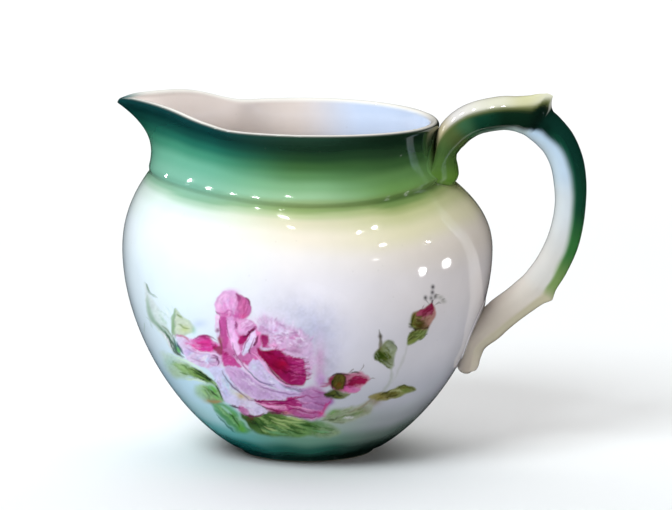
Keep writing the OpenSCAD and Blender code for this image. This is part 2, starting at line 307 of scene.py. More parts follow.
class Sheet:
    """Colour and cover on a grid, with u to the right and v up, in millimetres."""

    def __init__(self, low, high, cell):
        us, vs = np.arange(low[0], high[0], cell), np.arange(low[1], high[1], cell)
        self.u, self.v = np.meshgrid(us, vs)
        self.colour = np.zeros(self.u.shape + (3,))
        self.cover = np.zeros(self.u.shape)
        self.owner = np.full(self.u.shape, -1)
        self.piece = 0
        self.seed = 100
        # The brush trembles a little: edges wander by up to a fifth of a millimetre.
        self.bent_u = self.u + (noise(self.u, self.v, 1.1, 11) - 0.5) * 0.36
        self.bent_v = self.v + (noise(self.u, self.v, 1.1, 12) - 0.5) * 0.36

    def window(self, points, margin):
        p = np.asarray(points, float)
        lo, hi = p.min(0) - margin, p.max(0) + margin
        us, vs = self.u[0], self.v[:, 0]
        return (slice(*np.searchsorted(vs, (lo[1], hi[1]))), slice(*np.searchsorted(us, (lo[0], hi[0]))))

    def lay(self, w, colour, alpha):
        """Puts paint over what is there, and gives the cells to the piece being painted."""
        under = self.cover[w] * (1 - alpha)
        total = alpha + under
        safe = np.maximum(total, 1e-6)[..., None]
        self.colour[w] = (colour * alpha[..., None] + self.colour[w] * under[..., None]) / safe
        self.cover[w] = total
        taken = (alpha > 0.3) | ((self.owner[w] < 0) & (alpha > 0.004))
        self.owner[w] = np.where(taken, self.piece, self.owner[w])

    def petal(self, outline, near, far, root=None, edge=None, edge_width=0.5, edge_strength=0.6,
              streak=0.22, soft=0.22, alpha=1.0):
        """A filled shape, coloured from its root to its far side, with faint veins."""
        corners = read_points(outline)
        line = through(corners, 6, closed=True)
        w = self.window(line, soft * 2 + 0.3)
        u, v = self.bent_u[w], self.bent_v[w]
        d = to_line(u, v, np.vstack([line, line[:1]]))[0] * np.where(inside(u, v, line), 1, -1)
        root = np.array(corners[0] if root is None else root, float)
        reach = np.hypot(*(line - root).T).max()
        du, dv = self.u[w] - root[0], self.v[w] - root[1]
        self.seed += 1
        veins = noise(np.arctan2(dv, du) * 14 + 40, np.hypot(du, dv) * 0.25, 1, self.seed) - 0.5
        t = np.hypot(du, dv) / reach + veins * streak * 2
        colour = ramp(t, (0, rgb(near)), (1, rgb(far)))
        if edge is not None:
            rim = np.exp(-(np.maximum(d, 0) / edge_width) ** 2) * edge_strength
            colour = mix(colour, rgb(edge), rim)
        self.lay(w, colour, step(d, -soft, soft) * alpha)

    def line(self, corners, width, colour, end, alpha, soft):
        """One brush line that thins towards both ends, from colour to end's colour."""
        line = through(corners, 6)
        w = self.window(line, width + soft * 2)
        d, s = to_line(self.bent_u[w], self.bent_v[w], line)
        thick = width / 2 * np.maximum(np.sin(np.pi * np.clip(s, 0.02, 0.98)), 1e-3) ** 0.6
        self.lay(w, ramp(s, (0, colour), (1, end)), (1 - step(d - thick, -soft, soft)) * alpha)

    def stroke(self, lines, width, colour, alpha=0.9, soft=0.16, end=None):
        """One brush line or more, with semicolons between them."""
        first, last = rgb(colour), rgb(colour if end is None else end)
        for line in lines.split(";"):
            self.line(read_points(line), width, first, last, alpha, soft)

    def wash(self, centre, size, colour, alpha=0.8, turn=0):
        """A soft cloud of colour."""
        c, s = cos(turn), sin(turn)
        reach = 2.2 * max(size)
        w = self.window([centre], reach)
        du, dv = self.u[w] - centre[0], self.v[w] - centre[1]
        q = ((du * c + dv * s) / size[0]) ** 2 + ((dv * c - du * s) / size[1]) ** 2
        blotch = 0.75 + 0.5 * noise(self.u[w], self.v[w], 1.6, 21)
        a = np.clip(np.exp(-q) - 0.02, 0, 1) * alpha * blotch
        self.lay(w, np.broadcast_to(rgb(colour), self.u[w].shape + (3,)), np.clip(a, 0, 1))

    def feathers(self, centre, size, colours, count, turn=0.0, fan=None, length=2.2, width=0.45, alpha=0.5,
                 soft=0.14):
        """Small brush strokes scattered in an oval: all one way, or fanning out from a point."""
        self.seed += 1
        chance = np.random.default_rng(self.seed)
        shades = [rgb(shade) for shade in colours.split()]
        for k in range(count):
            reach, around = np.sqrt(chance.random()), chance.random() * 360
            along, up = reach * size[0] * cos(around), reach * size[1] * sin(around)
            shift = (along * cos(turn) - up * sin(turn), along * sin(turn) + up * cos(turn))
            middle = np.array(centre) + shift
            way = turn if fan is None else np.degrees(np.arctan2(middle[1] - fan[1], middle[0] - fan[0]))
            way += chance.normal(0, 9)
            half = length / 2 * (0.6 + 0.7 * chance.random())
            run, bow = half * np.array([cos(way), sin(way)]), (chance.random() - 0.5) * 0.3 * half
            line = [middle - run, middle + bow * np.array([-sin(way), cos(way)]), middle + run]
            shade = shades[k % len(shades)]
            self.line(line, width * (0.6 + 0.8 * chance.random()), shade, shade, alpha, soft)

    def brush_over(self):
        """Drags the paint about a little and gives it the uneven density of a brushed enamel."""
        rows, columns = self.u.shape
        i, j = np.mgrid[:rows, :columns]
        cell = self.u[0, 1] - self.u[0, 0]
        for size, drag, seed in ((0.9, 0.2, 41), (0.45, 0.18, 43)):
            di = np.rint((noise(self.u, self.v, size, seed) - 0.5) * 2 * drag / cell).astype(int)
            dj = np.rint((noise(self.u, self.v, size, seed + 1) - 0.5) * 2 * drag / cell).astype(int)
            from_i, from_j = np.clip(i + di, 0, rows - 1), np.clip(j + dj, 0, columns - 1)
            painted = (self.cover > 0.05) & (self.cover[from_i, from_j] > 0.05)
            share = 0.6 * painted
            self.colour = mix(self.colour, self.colour[from_i, from_j], share)
        fine, broad = noise(self.u, self.v, 0.5, 45), noise(self.u, self.v, 1.7, 46)
        density = 1 + 0.2 * (fine - 0.5) + 0.16 * (broad - 0.5)
        self.colour = np.clip(self.colour * density[..., None], 0, 1)


# ---------------------------------------------------------------- the rose spray

SPRAY = ("left_leaf_transfer", "lower_leaf_transfer", "right_leaf_transfer", "lower_bud_transfer",
         "middle_bud_transfer", "upper_bud_transfer", "rose_transfer")
PEARL, WHITE = rgb("#e8daf6"), rgb("#f6f0fa")
BLUSH, PINK, ROSE = rgb("#f0c4e6"), rgb("#e28cc6"), rgb("#ce549c")
MINT, CELERY, GRASS = rgb("#b0d6be"), rgb("#b0c886"), rgb("#76aa60")
PINE, GREY_GREEN = rgb("#284222"), rgb("#9ea88e")

# In the functions below s is the sheet, and s.piece the place of the piece's name in SPRAY.


def paint_leaves_left(s):
    """Pale leaves that fan out left of the rose, and greener ones under it."""
    s.piece = 0
    s.petal("-40.8,41.8 -39.4,38.6 -37.6,36 -36,33 -34.4,29.6 -32.6,25 -31.6,22.8 -34,25 -36.4,28.6 "
            "-38.8,31.6 -40,35", mix(MINT, WHITE, 0.62), mix(MINT, WHITE, 0.35), soft=0.5, alpha=0.8)
    s.stroke("-40.6,41.9 -39.6,39.6 -38,37.8", 0.5, "#94b0a4", 0.7)
    s.stroke("-39.8,38 -39.6,35 -38.6,32.4 -37,30.4", 0.9, "#a4c2b2", 0.55, soft=0.4)
    s.stroke("-37.6,31 -35.4,29 -34.2,26.8 -33.4,24.8 -31.2,22.8", 0.55, "#42624a", 0.85, end="#364a3c")
    s.stroke("-36.8,29.6 -34.9,27.4 -34,25", 0.4, WHITE, 0.8)
    s.petal("-33,35.2 -31.6,33.6 -29.4,32 -28.4,30 -29.8,28.8 -33.2,28.4 -33.9,30.8",
            mix(CELERY, WHITE, 0.3), mix(CELERY, WHITE, 0.45), edge="#aabe96", soft=0.4, alpha=0.85)
    s.stroke("-33.1,35 -33.4,32 -33.7,29 -33.2,26.4", 0.5, "#86a084", 0.75)
    s.stroke("-32.8,33.8 -32,33 -31.4,32.6; -32.6,31.4 -30.4,30.6", 0.5, "#96ac70", 0.6)
    s.wash((-32.2, 26), (0.7, 1.7), "#407670", 0.8, -28)
    s.wash((-32, 24.9), (0.6, 0.6), GRASS)
    s.petal("-36.6,24.2 -33,23 -29.6,21.4 -28.6,19.4 -30.6,17.8 -34,18.6", mix(MINT, WHITE, 0.3),
            mix(CELERY, MINT, 0.35), soft=0.9, alpha=0.85)
    s.wash((-34.4, 21.6), (1.5, 1.4), "#b0d6ca", 0.7)
    s.wash((-30.8, 20), (1.8, 0.9), "#96be68", 0.7, -20)
    s.wash((-32.4, 21), (1.2, 0.7), CELERY, 0.6)
    s.stroke("-35,24.2 -32.4,22.8 -30,21.8 -28.6,20.4", 0.5, "#d6f0da", 0.85)
    s.petal("-29.4,20.6 -26.6,19.6 -24.2,17.6 -22.2,15.9 -24.8,16.6 -28,17.8 -29.6,18.8", "#8cae68",
            "#466836", soft=0.4)
    s.stroke("-29,20.6 -26.6,19.2 -24,17.2 -22,16; -28.6,19.2 -26.4,18.2; -27.6,18.2 -25.2,17.3", 0.45,
             PINE, 0.9)
    s.stroke("-30.6,17.6 -27.6,17.5 -25.2,16.6", 0.6, "#ceeac8", 0.85)
    s.petal("-28,15.6 -25.6,16.4 -23,16 -21.8,14.2 -20.6,12.2 -22.6,11.4 -25.4,12.2 -27.4,13.8", "#acd0a8",
            "#7ca85c", root=(-28, 15.6), soft=0.9, alpha=0.9)
    s.wash((-26.6, 14.2), (1.6, 1.2), "#a8ceac", 0.7)
    s.wash((-24.4, 15.4), (1, 0.6), "#70be76")
    s.wash((-22.6, 13.2), (1, 0.6), "#7cc470", 0.8, -30)
    s.wash((-24, 12.2), (1.7, 0.7), "#c6a470", 0.75)
    s.stroke("-23.2,17.4 -22.7,15.4 -21.6,13.6 -20.6,12.2; -25.2,15 -23.6,14.5 -22.8,13.8", 0.4, PINE,
             0.85)
    s.feathers((-37.2, 32.6), (1.2, 4.4), "#c4e0d2 #e8f6f0 #a8c8b8", 12, turn=-62, length=3.4, width=0.4,
               alpha=0.4)
    s.feathers((-31.6, 20.2), (2.2, 1.2), "#96be78 #749c5c #b8d8ae", 14, turn=-24)
    s.feathers((-25.8, 18), (2.6, 0.6), "#345428 #7aa054 #284224", 12, turn=-32)
    s.feathers((-24, 14.2), (2.4, 1.6), "#84b864 #609042 #aad492 #486a32", 24, turn=-46, width=0.35)


def paint_leaves_below(s):
    """Leaves under the rose, down to the foot's green."""
    s.piece = 1
    s.petal("-24.6,12.6 -21.6,11.6 -19,10.6 -17,8.8 -15.4,6.4 -14,4.6 -16.6,4 -18.8,5.2 -21.2,7.6 "
            "-23.2,10", "#88bc80", "#70b070", edge="#62a888", edge_strength=0.8, edge_width=0.8, soft=0.6)
    s.wash((-18.8, 8.4), (1.2, 0.8), "#68b04e", 0.8, -50)
    s.wash((-16.4, 5.2), (1.3, 0.7), "#64b042", 0.8, -30)
    s.wash((-16.8, 7.8), (0.9, 0.6), "#b0d4be")
    s.stroke("-22.8,10.8 -20.4,8.2 -17.6,5.4; -20.6,10 -18.4,7.4", 0.35, "#4e8654", 0.7)
    s.petal("-16.8,8.9 -13,9.2 -9.4,9.6 -5.4,8.8 -1.6,7.8 1.4,6.6 3.4,5.2 1,3.6 -3,3 -8,3.2 -12,3.8 "
            "-14.8,5.6", "#466832", "#709c5c", soft=0.5)
    s.wash((-13.6, 6.9), (1.7, 1), "#263e1a", 0.95, -25)
    s.wash((-14, 7.6), (0.9, 0.6), "#703e36", 0.85)
    s.wash((-7.6, 7.6), (3, 0.8), "#92b260", 0.8, -12)
    s.wash((-3.4, 7.9), (1.9, 0.6), "#bec480", 0.8, -12)
    s.wash((-7, 4.8), (3.2, 1), "#84b87c", 0.8, -10)
    s.wash((-1.6, 5), (2.4, 0.9), "#86b068", 0.8, -16)
    s.wash((0.6, 6.1), (1.8, 0.7), "#36541a", 0.9, -10)
    s.stroke("-12.6,8.6 -9.8,7.4 -6.6,5.4 -4,4.4; -13.6,6.6 -10.6,5.8 -8.6,4.2; -9.6,8.8 -5.6,7.4 "
             "-2.2,5.6 0.4,4.6; -11.6,6 -9.4,4.8", 0.5, "#2c4c20", 0.75)
    s.stroke("-10.6,7 -7.4,6 -5,4.6; -6.4,7 -3,6.2 -1,5.2; -12.2,5.2 -9.8,4.4", 0.35, "#acca80", 0.8)
    s.petal("1.4,6.9 3.6,7 6.4,6 8.4,4.2 5.6,3 2,3.2 0.4,4.8", "#5c8a4a", "#92a684", soft=0.6, alpha=0.85)
    s.stroke("1.2,4.6 4,4.2 6.6,4; 1.6,6.2 3.6,5.6 5.6,5.4", 0.4, "#42642c", 0.6)
    s.feathers((-19.2, 8.2), (3.2, 1.3), "#509254 #82bc7a #387042 #9ace98", 24, turn=-48, width=0.35)
    s.feathers((-8, 6.4), (6, 1.7), "#385a26 #7ca452 #26421c #a6c87c #58823e", 52, turn=-20, length=3,
               width=0.36, alpha=0.55)
    s.feathers((4, 4.8), (3.2, 1.2), "#688c54 #98ae84 #466834", 18, turn=-8, width=0.35)


def paint_leaves_right(s):
    """A grey-green leaf and a small olive one right of the rose, with their stalks."""
    s.piece = 2
    s.stroke("25.2,26.4 24.2,23.4 22.8,20 21.2,16.6", 0.6, "#b2b4ac", 0.4, soft=0.4)
    s.stroke("21,20.4 21,18.4 20.2,16.2 18.2,13.6", 0.8, "#a0a698", 0.5, soft=0.4)
    s.petal("3.6,7.4 5.8,9.4 9.4,10.4 13,11.2 16.4,12.6 18.2,13 16.6,10.6 15.2,8.8 11.6,7.2 7.4,6.4",
            "#8c9e74", "#a8ac98", edge="#b0b4a0", soft=0.5, alpha=0.85)
    s.wash((6.6, 9.2), (1.5, 0.9), "#76a656", 0.8, 15)
    s.wash((13.6, 9.4), (1.9, 1), "#8a8c68", 0.75, 12)
    s.wash((17.2, 12.2), (1.6, 1.1), "#927c6c", 0.7, 30)
    s.stroke("3.4,7.2 6.6,7.5 9.4,8.4 12.6,8.6 15,9", 0.45, "#3e4a2c", 0.85, end=GREY_GREEN)
    s.stroke("9,7.6 10.4,7.9 11.8,8", 0.35, WHITE, 0.6)
    s.stroke("5,7.6 6.8,8.8 8,9.6; 9.6,8.6 11.2,9.6 12.2,10.4; 5.6,6.9 7.6,6.6 9.4,6.9", 0.3, "#707e54",
             0.6)
    s.stroke("9.6,9 13.4,10.6 16.6,12.8 18.6,13.6", 0.5, "#92806a", 0.6)
    s.petal("15.2,12.8 17.4,14.2 20.2,14.6 22.6,15.8 24.6,16.1 27.2,15 24.8,14 22,12.8 18.6,12.2",
            "#968a5c", "#788248", edge="#96966e", edge_strength=0.4, soft=0.3)
    s.wash((21, 13.7), (1.5, 0.7), "#584e18", 0.95, 18)
    s.wash((24.2, 15), (1.2, 0.7), "#6e823e", 0.9)
    s.wash((18.2, 13.2), (1.3, 0.7), "#8c7e3e", 0.8, 15)
    s.stroke("22.6,15.3 24,16 25.2,15.4 27,14.8", 0.35, "#424622", 0.8)
    s.feathers((9.4, 8.8), (4.6, 1.3), "#9aaa7a #708c52 #b4bca0 #586c3e", 24, turn=16, width=0.34)
    s.feathers((21.4, 14.2), (3.6, 0.8), "#605c24 #8c8e54 #484618", 22, turn=20, length=1.6, width=0.34,
               alpha=0.6)
    s.stroke("19.4,13.2 21,13.2 22.6,13.9; 22.4,15 23.8,15.8 25.2,15.6; 18,13.6 19.6,14.2 21.2,14.6", 0.42,
             "#3e3c18", 0.8)
    s.stroke("20.6,14.4 22.2,14.8 23.8,14.4", 0.5, "#b0b280", 0.7)


def paint_lower_bud(s):
    s.piece = 3
    s.petal("5.2,17.2 7,18.8 9.6,18.9 11.8,19.3 13.8,19.2 15.6,17.6 13.6,15.6 11.8,14.2 8.8,14.2 6.6,15",
            "#963254", "#ce8ca4", soft=0.4, streak=0.1)
    s.petal("8.8,15.4 10.2,17 12,18.4 14,17.8 15,17.2 13.4,16 11.2,15.6 9.6,15", "#7e0c34", "#a81e52",
            edge="#700e32", edge_strength=0.5)
    s.petal("9,15.4 10.6,15.9 12.2,15.6 13.4,15 11.4,14.2 9.6,14.3", ROSE, PINK, alpha=0.85)
    s.petal("6,17 7.2,18.7 9.2,18.6 9.4,17.2 9,15.2 7.8,14.9 6.6,15.6", "#4c461a", "#625822",
            edge="#3c3614")
    s.wash((7.8, 16.2), (0.8, 0.6), "#783c14", 0.7)
    s.petal("4,13.8 5.6,14.4 7,15 7.4,14 8.6,13.2 7.2,12.8 5.8,13.3", "#282e1a", "#424622", soft=0.2)
    s.stroke("7,13.7 8.2,12.9 9.2,12.8; 7,18.6 9,18.7 10.8,18.5; 10.8,19.2 12,19.4 13.2,18.9", 0.4,
             "#34301e", 0.85)
    s.stroke("13,19.6 13.8,20.4 14,21.4; 15,17.4 16.2,17.8 17,17.7; 10.2,19 11,19.8 11.6,20.2", 0.32,
             "#867c7c", 0.7)
    s.stroke("12.2,18.2 13.8,18.2 15.2,17.4", 0.35, "#701432", 0.8)
    s.wash((12.6, 16), (0.8, 0.3), "#e296b8", 0.6)
    s.feathers((12, 16.8), (2.4, 1.2), "#a61a50 #c45488 #680c2e", 18, turn=12, length=1.6, width=0.3)
    s.petal("4.2,13.6 5.4,14.8 7.2,15 9,14.1 10.8,13.9 9.4,12.8 7.2,12.6 5.4,12.9", "#424a1e", "#70783c",
            soft=0.35, alpha=0.9)
    s.stroke("4.4,13.5 6,13.4 7.6,13.8; 6.6,14.8 7.6,14 8.8,13.2; 6,18.2 7,18.8 8.6,18.9; 6.4,15 6.2,16.4 "
             "6.8,17.6", 0.4, "#242a16", 0.85)
    s.stroke("9,18.8 9.4,17 9,15.2", 0.42, "#421e18", 0.8)
    s.feathers((7.6, 16.6), (1.2, 1.4), "#3a3612 #686428 #282810", 12, turn=60, length=1.3, width=0.3)


def paint_middle_bud(s):
    s.piece = 4
    s.petal("16.9,24.2 18.2,25.6 19.8,27.2 21.4,27 22.4,25.2 21.8,23 21.4,20.6 20.4,20.2 18.6,21.6 "
            "16.9,22.6", "#707842", "#929a80", soft=0.4)
    s.petal("16.7,23.4 18,24.6 20,24.2 21,23 20,22.2 18.6,21.8 17,22.4", "#34460e", "#546028", soft=0.35)
    s.wash((18.2, 23.4), (1.2, 0.7), "#2e420a", 0.95)
    s.stroke("17.8,24.4 18.2,26 18.3,27.6 17.8,29.8", 0.9, "#706642", 0.85, end="#605c4e", soft=0.3)
    s.wash((18.2, 28.2), (0.5, 0.5), "#4a4234", 0.9)
    s.stroke("18.6,21.8 19.6,21 21,20.4; 19,22.4 20.2,21.6 21.4,21.2; 19.4,20.8 20.6,20.3", 0.4, "#586038",
             0.85)
    s.stroke("20,27.2 21.2,26.8 21.8,26; 22,26.2 22.3,25.2", 0.4, "#626a58", 0.7)
    s.stroke("19.4,26.4 20.6,25.6 21,24", 0.8, "#a6ae98", 0.6, soft=0.35)
    s.feathers((19.2, 23.4), (1.8, 2.4), "#3c4e16 #707c42 #9ca686 #28380c", 20, turn=-50, length=1.5,
               width=0.32)


def paint_upper_bud(s):
    s.piece = 5
    s.petal("25,26.2 25.2,28.4 26.4,29.8 28.4,30.2 30.2,30.2 29.4,28.4 27.4,27 26,26.2", "#808e4a",
            "#7c8c54", soft=0.35)
    s.petal("25.8,31.4 26,33.4 27.2,34.6 29.2,35.4 31.2,36.4 32,34 31,31.6 29.8,30 27.8,29.8 26.6,30.2",
            "#70602c", "#ba8480", soft=0.35)
    s.petal("27.2,33.2 28,35 29.4,35.4 31,36.8 31.5,35.2 31,33.8 29.4,33.2", "#b05270", "#8a1c42",
            edge="#841e3e", edge_strength=0.5)
    s.wash((26.4, 32.4), (0.7, 1.5), "#707c30", 0.9, -18)
    s.wash((28, 31.2), (1, 1), "#46320c", 0.95)
    s.wash((30.2, 32.2), (0.7, 1.1), "#b08a76", 0.75, -30)
    s.wash((27.9, 29.3), (0.9, 0.5), "#768a42", 0.85)
    s.wash((26.2, 27.6), (0.7, 0.7), "#869446", 0.85)
    s.stroke("25.8,28.8 26.8,29.6 27,30.6; 29.2,30.2 30,30.4 30.4,31; 28.4,32.8 29,33.6 30,33.9", 0.5,
             "#3a2e16", 0.85)
    s.stroke("31,36.4 31.2,37 31.3,37.4", 0.55, "#4a343c", 0.8)
    for centre in ((31.3, 40.6), (31.2, 39.2), (30.9, 37.8), (29.5, 37.9), (32, 38.2)):
        s.wash(centre, (0.45, 0.55), "#302830", 0.95)
    for centre in ((33.2, 38), (33.9, 37)):
        s.wash(centre, (0.7, 0.5), "#969488", 0.7)
    s.stroke("31.8,36 32.8,36.6 33.4,36.4; 33.6,37.2 34.4,37.8; 31.6,37.4 32.2,38.6 32.8,38.8; 30.4,36.4 "
             "29.8,37.2 29.6,37.8", 0.4, "#807c76", 0.6)
    s.feathers((29.6, 34.2), (2, 1.8), "#aa325c #c86e8c #761234", 14, turn=50, length=1.5, width=0.32)
    s.feathers((27, 30.6), (1.2, 3), "#54581e #86904c #343210", 26, turn=-18, length=1.4, width=0.34,
               alpha=0.6)
    s.feathers((27.6, 28.4), (2.2, 1.2), "#48541e #96a45c #3a3e16", 18, turn=28, length=1.5, width=0.34,
               alpha=0.6)
    s.wash((28.4, 31.1), (1.5, 1.2), "#423610", 0.75, 20)
    s.stroke("29.6,34 30.6,35 31.3,36.4; 28.6,33.8 29.6,34.8 30.4,35.4", 0.5, "#7e1236", 0.8)
    s.stroke("25.9,31 26.2,32.6 27,34; 26.4,30.2 27.8,30.3 29.4,30.4; 25.2,27 26.4,28 27.6,28.2", 0.45,
             "#323012", 0.8)


def paint_rose_back(s):
    """The haze and the pale, loosely drawn petals behind the heart."""
    s.piece = 6
    s.wash((-4, 34), (9, 4.6), "#cecce2", 0.55)
    s.wash((2, 29), (6.4, 5.6), "#b2b4d4", 0.6)
    s.wash((5.4, 21), (3, 6), "#b8b2cc", 0.6)
    s.wash((-10, 31.4), (4, 2.6), "#dec4e2", 0.7)
    s.wash((3, 22), (1.6, 5.6), "#cea0c8")
    s.petal("-12.4,25 -13,28.4 -12.2,31 -9.6,32.6 -6.4,31.8 -4,30.4 -1.2,29.8 0.8,27 1.6,23.4 1,18.6 "
            "-2,20 -7,24.2", "#deb2d8", "#ccacd0", root=(-6, 22), soft=0.7, streak=0.4, alpha=0.9)
    s.wash((-6.6, 29.4), (1.8, 1.1), "#e2d4f0", 0.95)
    s.wash((-9.2, 30), (1.4, 0.9), "#dcc4e8")
    s.wash((-3, 29), (1.3, 0.9), "#c090ba")
    s.wash((-2.8, 27.2), (1.3, 1), "#b484ac", 0.7)
    s.wash((-6.2, 26.2), (1.8, 0.8), "#d0a2cc", 0.8, -14)
    s.wash((-3.6, 25), (1.9, 0.7), "#c68eb8", 0.8, -10)
    s.wash((0, 26.4), (0.9, 1.6), "#d8bedc")
    s.wash((-10.6, 32.8), (1, 0.8), "#cc9ec6", 0.6)
    s.wash((-14.4, 31.6), (1.2, 1.2), "#e2c4de", 0.7)
    s.stroke("-12,30.8 -10,29.6 -8.2,28.8; -7.6,31.6 -5.6,30.6; -4.6,28.2 -2.6,28.4 -1.4,27.4; -5.4,24.6 "
             "-3,24.6 -1,23.8", 0.4, "#b078a8", 0.55)
    s.wash((3.4, 17.2), (1.2, 1.6), "#c27ac8")
    s.stroke("3,15.8 4.6,16 6.4,16.6; 3.4,16.6 5,16.5 6.2,17", 0.5, "#aa3e70", 0.7)
    s.feathers((-6.4, 28.8), (5.6, 3.4), "#ecd6f0 #c48aba #deb4dc #f0e4f8 #ba7aac", 60, fan=(-4, 10),
               length=1.5, width=0.9, alpha=0.4, soft=0.4)
    s.feathers((-5.6, 27.6), (5.4, 2.8), "#a06098 #f6ecfc #ce78b4", 40, turn=-16, length=1.3, width=0.34,
               alpha=0.5)
    s.feathers((-8.4, 25.4), (3, 0.6), "#ce549c #eca0d0 #a0286e", 16, turn=-12, length=1.6, width=0.34,
               alpha=0.6)
    s.feathers((0.2, 23.4), (1.8, 5), "#d2aed4 #b88eba #e0cce4", 22, fan=(-7, 19), length=1.6)
    s.feathers((-10.6, 32.4), (2.6, 1), "#e8c8e6 #be8cb8 #d4aad0", 14, fan=(-9, 26), length=1.3, width=0.4)


def paint_rose_crown(s):
    """The round petal on top and the narrow upright ones under it."""
    s.piece = 6
    s.petal("-23.1,36 -22.6,38 -20.9,39.4 -18.4,39.6 -16.9,38.5 -15.2,37.7 -14.3,36.3 -14.2,34.6 "
            "-15.4,32.8 -17,32.2 -19.2,32.2 -21.4,33.2 -22.9,34.6", "#ce6eb0", "#eab2dc", root=(-18.4, 32),
            edge="#e0a6d6", soft=0.3)
    s.petal("-17.8,39 -16.6,38.4 -15,37.6 -14.2,36.3 -14.2,34.6 -15.4,32.8 -17,32.2 -17.4,34.6 -17.6,37",
            "#c65492", "#c464a0", edge="#a84c84", soft=0.35, alpha=0.9)
    s.wash((-16, 33.4), (1, 0.8), "#de5694", 0.9)
    s.wash((-19.8, 36), (1.6, 1.3), "#f4ace8", 0.9)
    s.wash((-20.2, 37), (0.9, 0.8), "#ceb0dc", 0.7)
    s.wash((-19.2, 39.2), (1.7, 0.9), "#e2a8d8", 0.9)
    s.wash((-20.4, 33.6), (1.4, 0.8), "#c45098", 0.9)
    s.wash((-18.2, 33.4), (1.3, 0.9), "#c65ca2", 0.9)
    s.stroke("-18.2,38.9 -17.3,38.4 -17,37.2; -15.6,38 -14.8,37.4 -14.4,36.4; -23,34.4 -22.2,33.8 "
             "-21.6,33", 0.45, "#923e70", 0.7)
    s.feathers((-19.8, 35.8), (2.2, 2), "#f8c4ec #e082c2 #eca2d8 #d0a8d0", 26, fan=(-18.6, 30), alpha=0.4)
    s.feathers((-16, 35.2), (1, 1.8), "#a83674 #d264a0 #e280b6", 18, fan=(-17, 30), alpha=0.45)
    # The upright petals: pale slivers between darker folds.
    s.petal("-22.8,32.8 -20.8,33.4 -17.6,33 -13.8,32 -12.6,30.4 -12.2,27 -12.4,24 -14.4,22.2 -17,22.4 "
            "-20.6,24.4 -22.6,28.2", "#ce70ac", "#d688be", root=(-18, 22))
    s.petal("-22.9,33.4 -22,33.2 -21.8,30.8 -22,28.2 -22.8,28 -23,30.4", BLUSH, PEARL, soft=0.25)
    s.petal("-21.9,33 -20.2,32.8 -19.8,29 -20.2,25.6 -21.6,25.6 -21.8,29", "#c4569c", "#be4c92")
    s.wash((-22.4, 29.7), (0.6, 0.5), "#7c325a", 0.9)
    s.wash((-21.8, 27.4), (0.7, 1), "#ac7a84", 0.7)
    s.petal("-19.9,32.6 -18.3,32.8 -18,30 -17.4,27.2 -16.8,24.4 -17.4,23.4 -18.6,25.2 -19.8,28.6",
            "#facef6", "#e6a4da", root=(-17.2, 23.6), edge="#e29cd6", edge_width=0.3, edge_strength=0.4)
    s.petal("-17.4,32.2 -15,32.4 -13.4,31.2 -14.6,29.6 -16.8,28.6 -17.6,30", "#e2a0d0", "#d8a4ce",
            soft=0.35)
    s.feathers((-15.4, 30.8), (1.8, 1.2), "#f0d2f0 #be6eaa #dea8d6", 14, turn=36, length=1.4, width=0.34)
    s.petal("-17.2,28 -15,28.9 -13.2,30.6 -13.8,28.8 -15.4,27 -17,26", "#b0226a", "#961a58", soft=0.25)
    s.stroke("-13,30.8 -13.8,29.9 -15,28.9 -16.4,28.1", 0.45, "#620c3c", 0.9)
    s.petal("-13.2,30 -12.8,28.2 -13.4,26.4 -14.4,24.6 -16,23.3 -16.4,24.6 -15.6,26.6 -14.4,28.6",
            "#e2dcf8", "#f0cef2", root=(-15.4, 24.6), edge="#e8b0e2", edge_width=0.3, edge_strength=0.4,
            soft=0.18)
    s.stroke("-12.7,28 -12.7,27 -13.4,25.9", 0.6, "#5c143e", 0.9)
    s.stroke("-14,25.4 -14.6,24.6 -14.4,23.8", 0.45, "#461036", 0.8)
    s.stroke("-17.9,32 -17.7,31.2 -17.8,30.4", 0.7, "#843870", 0.8, soft=0.3)
    s.petal("-12.8,29.6 -11.8,29.4 -11.4,27.4 -11.8,25.6 -12.6,26 -12.6,28", "#ec8ac2", "#d678b2",
            soft=0.3)
    s.petal("-11.6,28.4 -9.8,28.6 -9.6,27 -10.4,25.6 -11.2,25.8", "#921a58", "#b23a7a", soft=0.35)


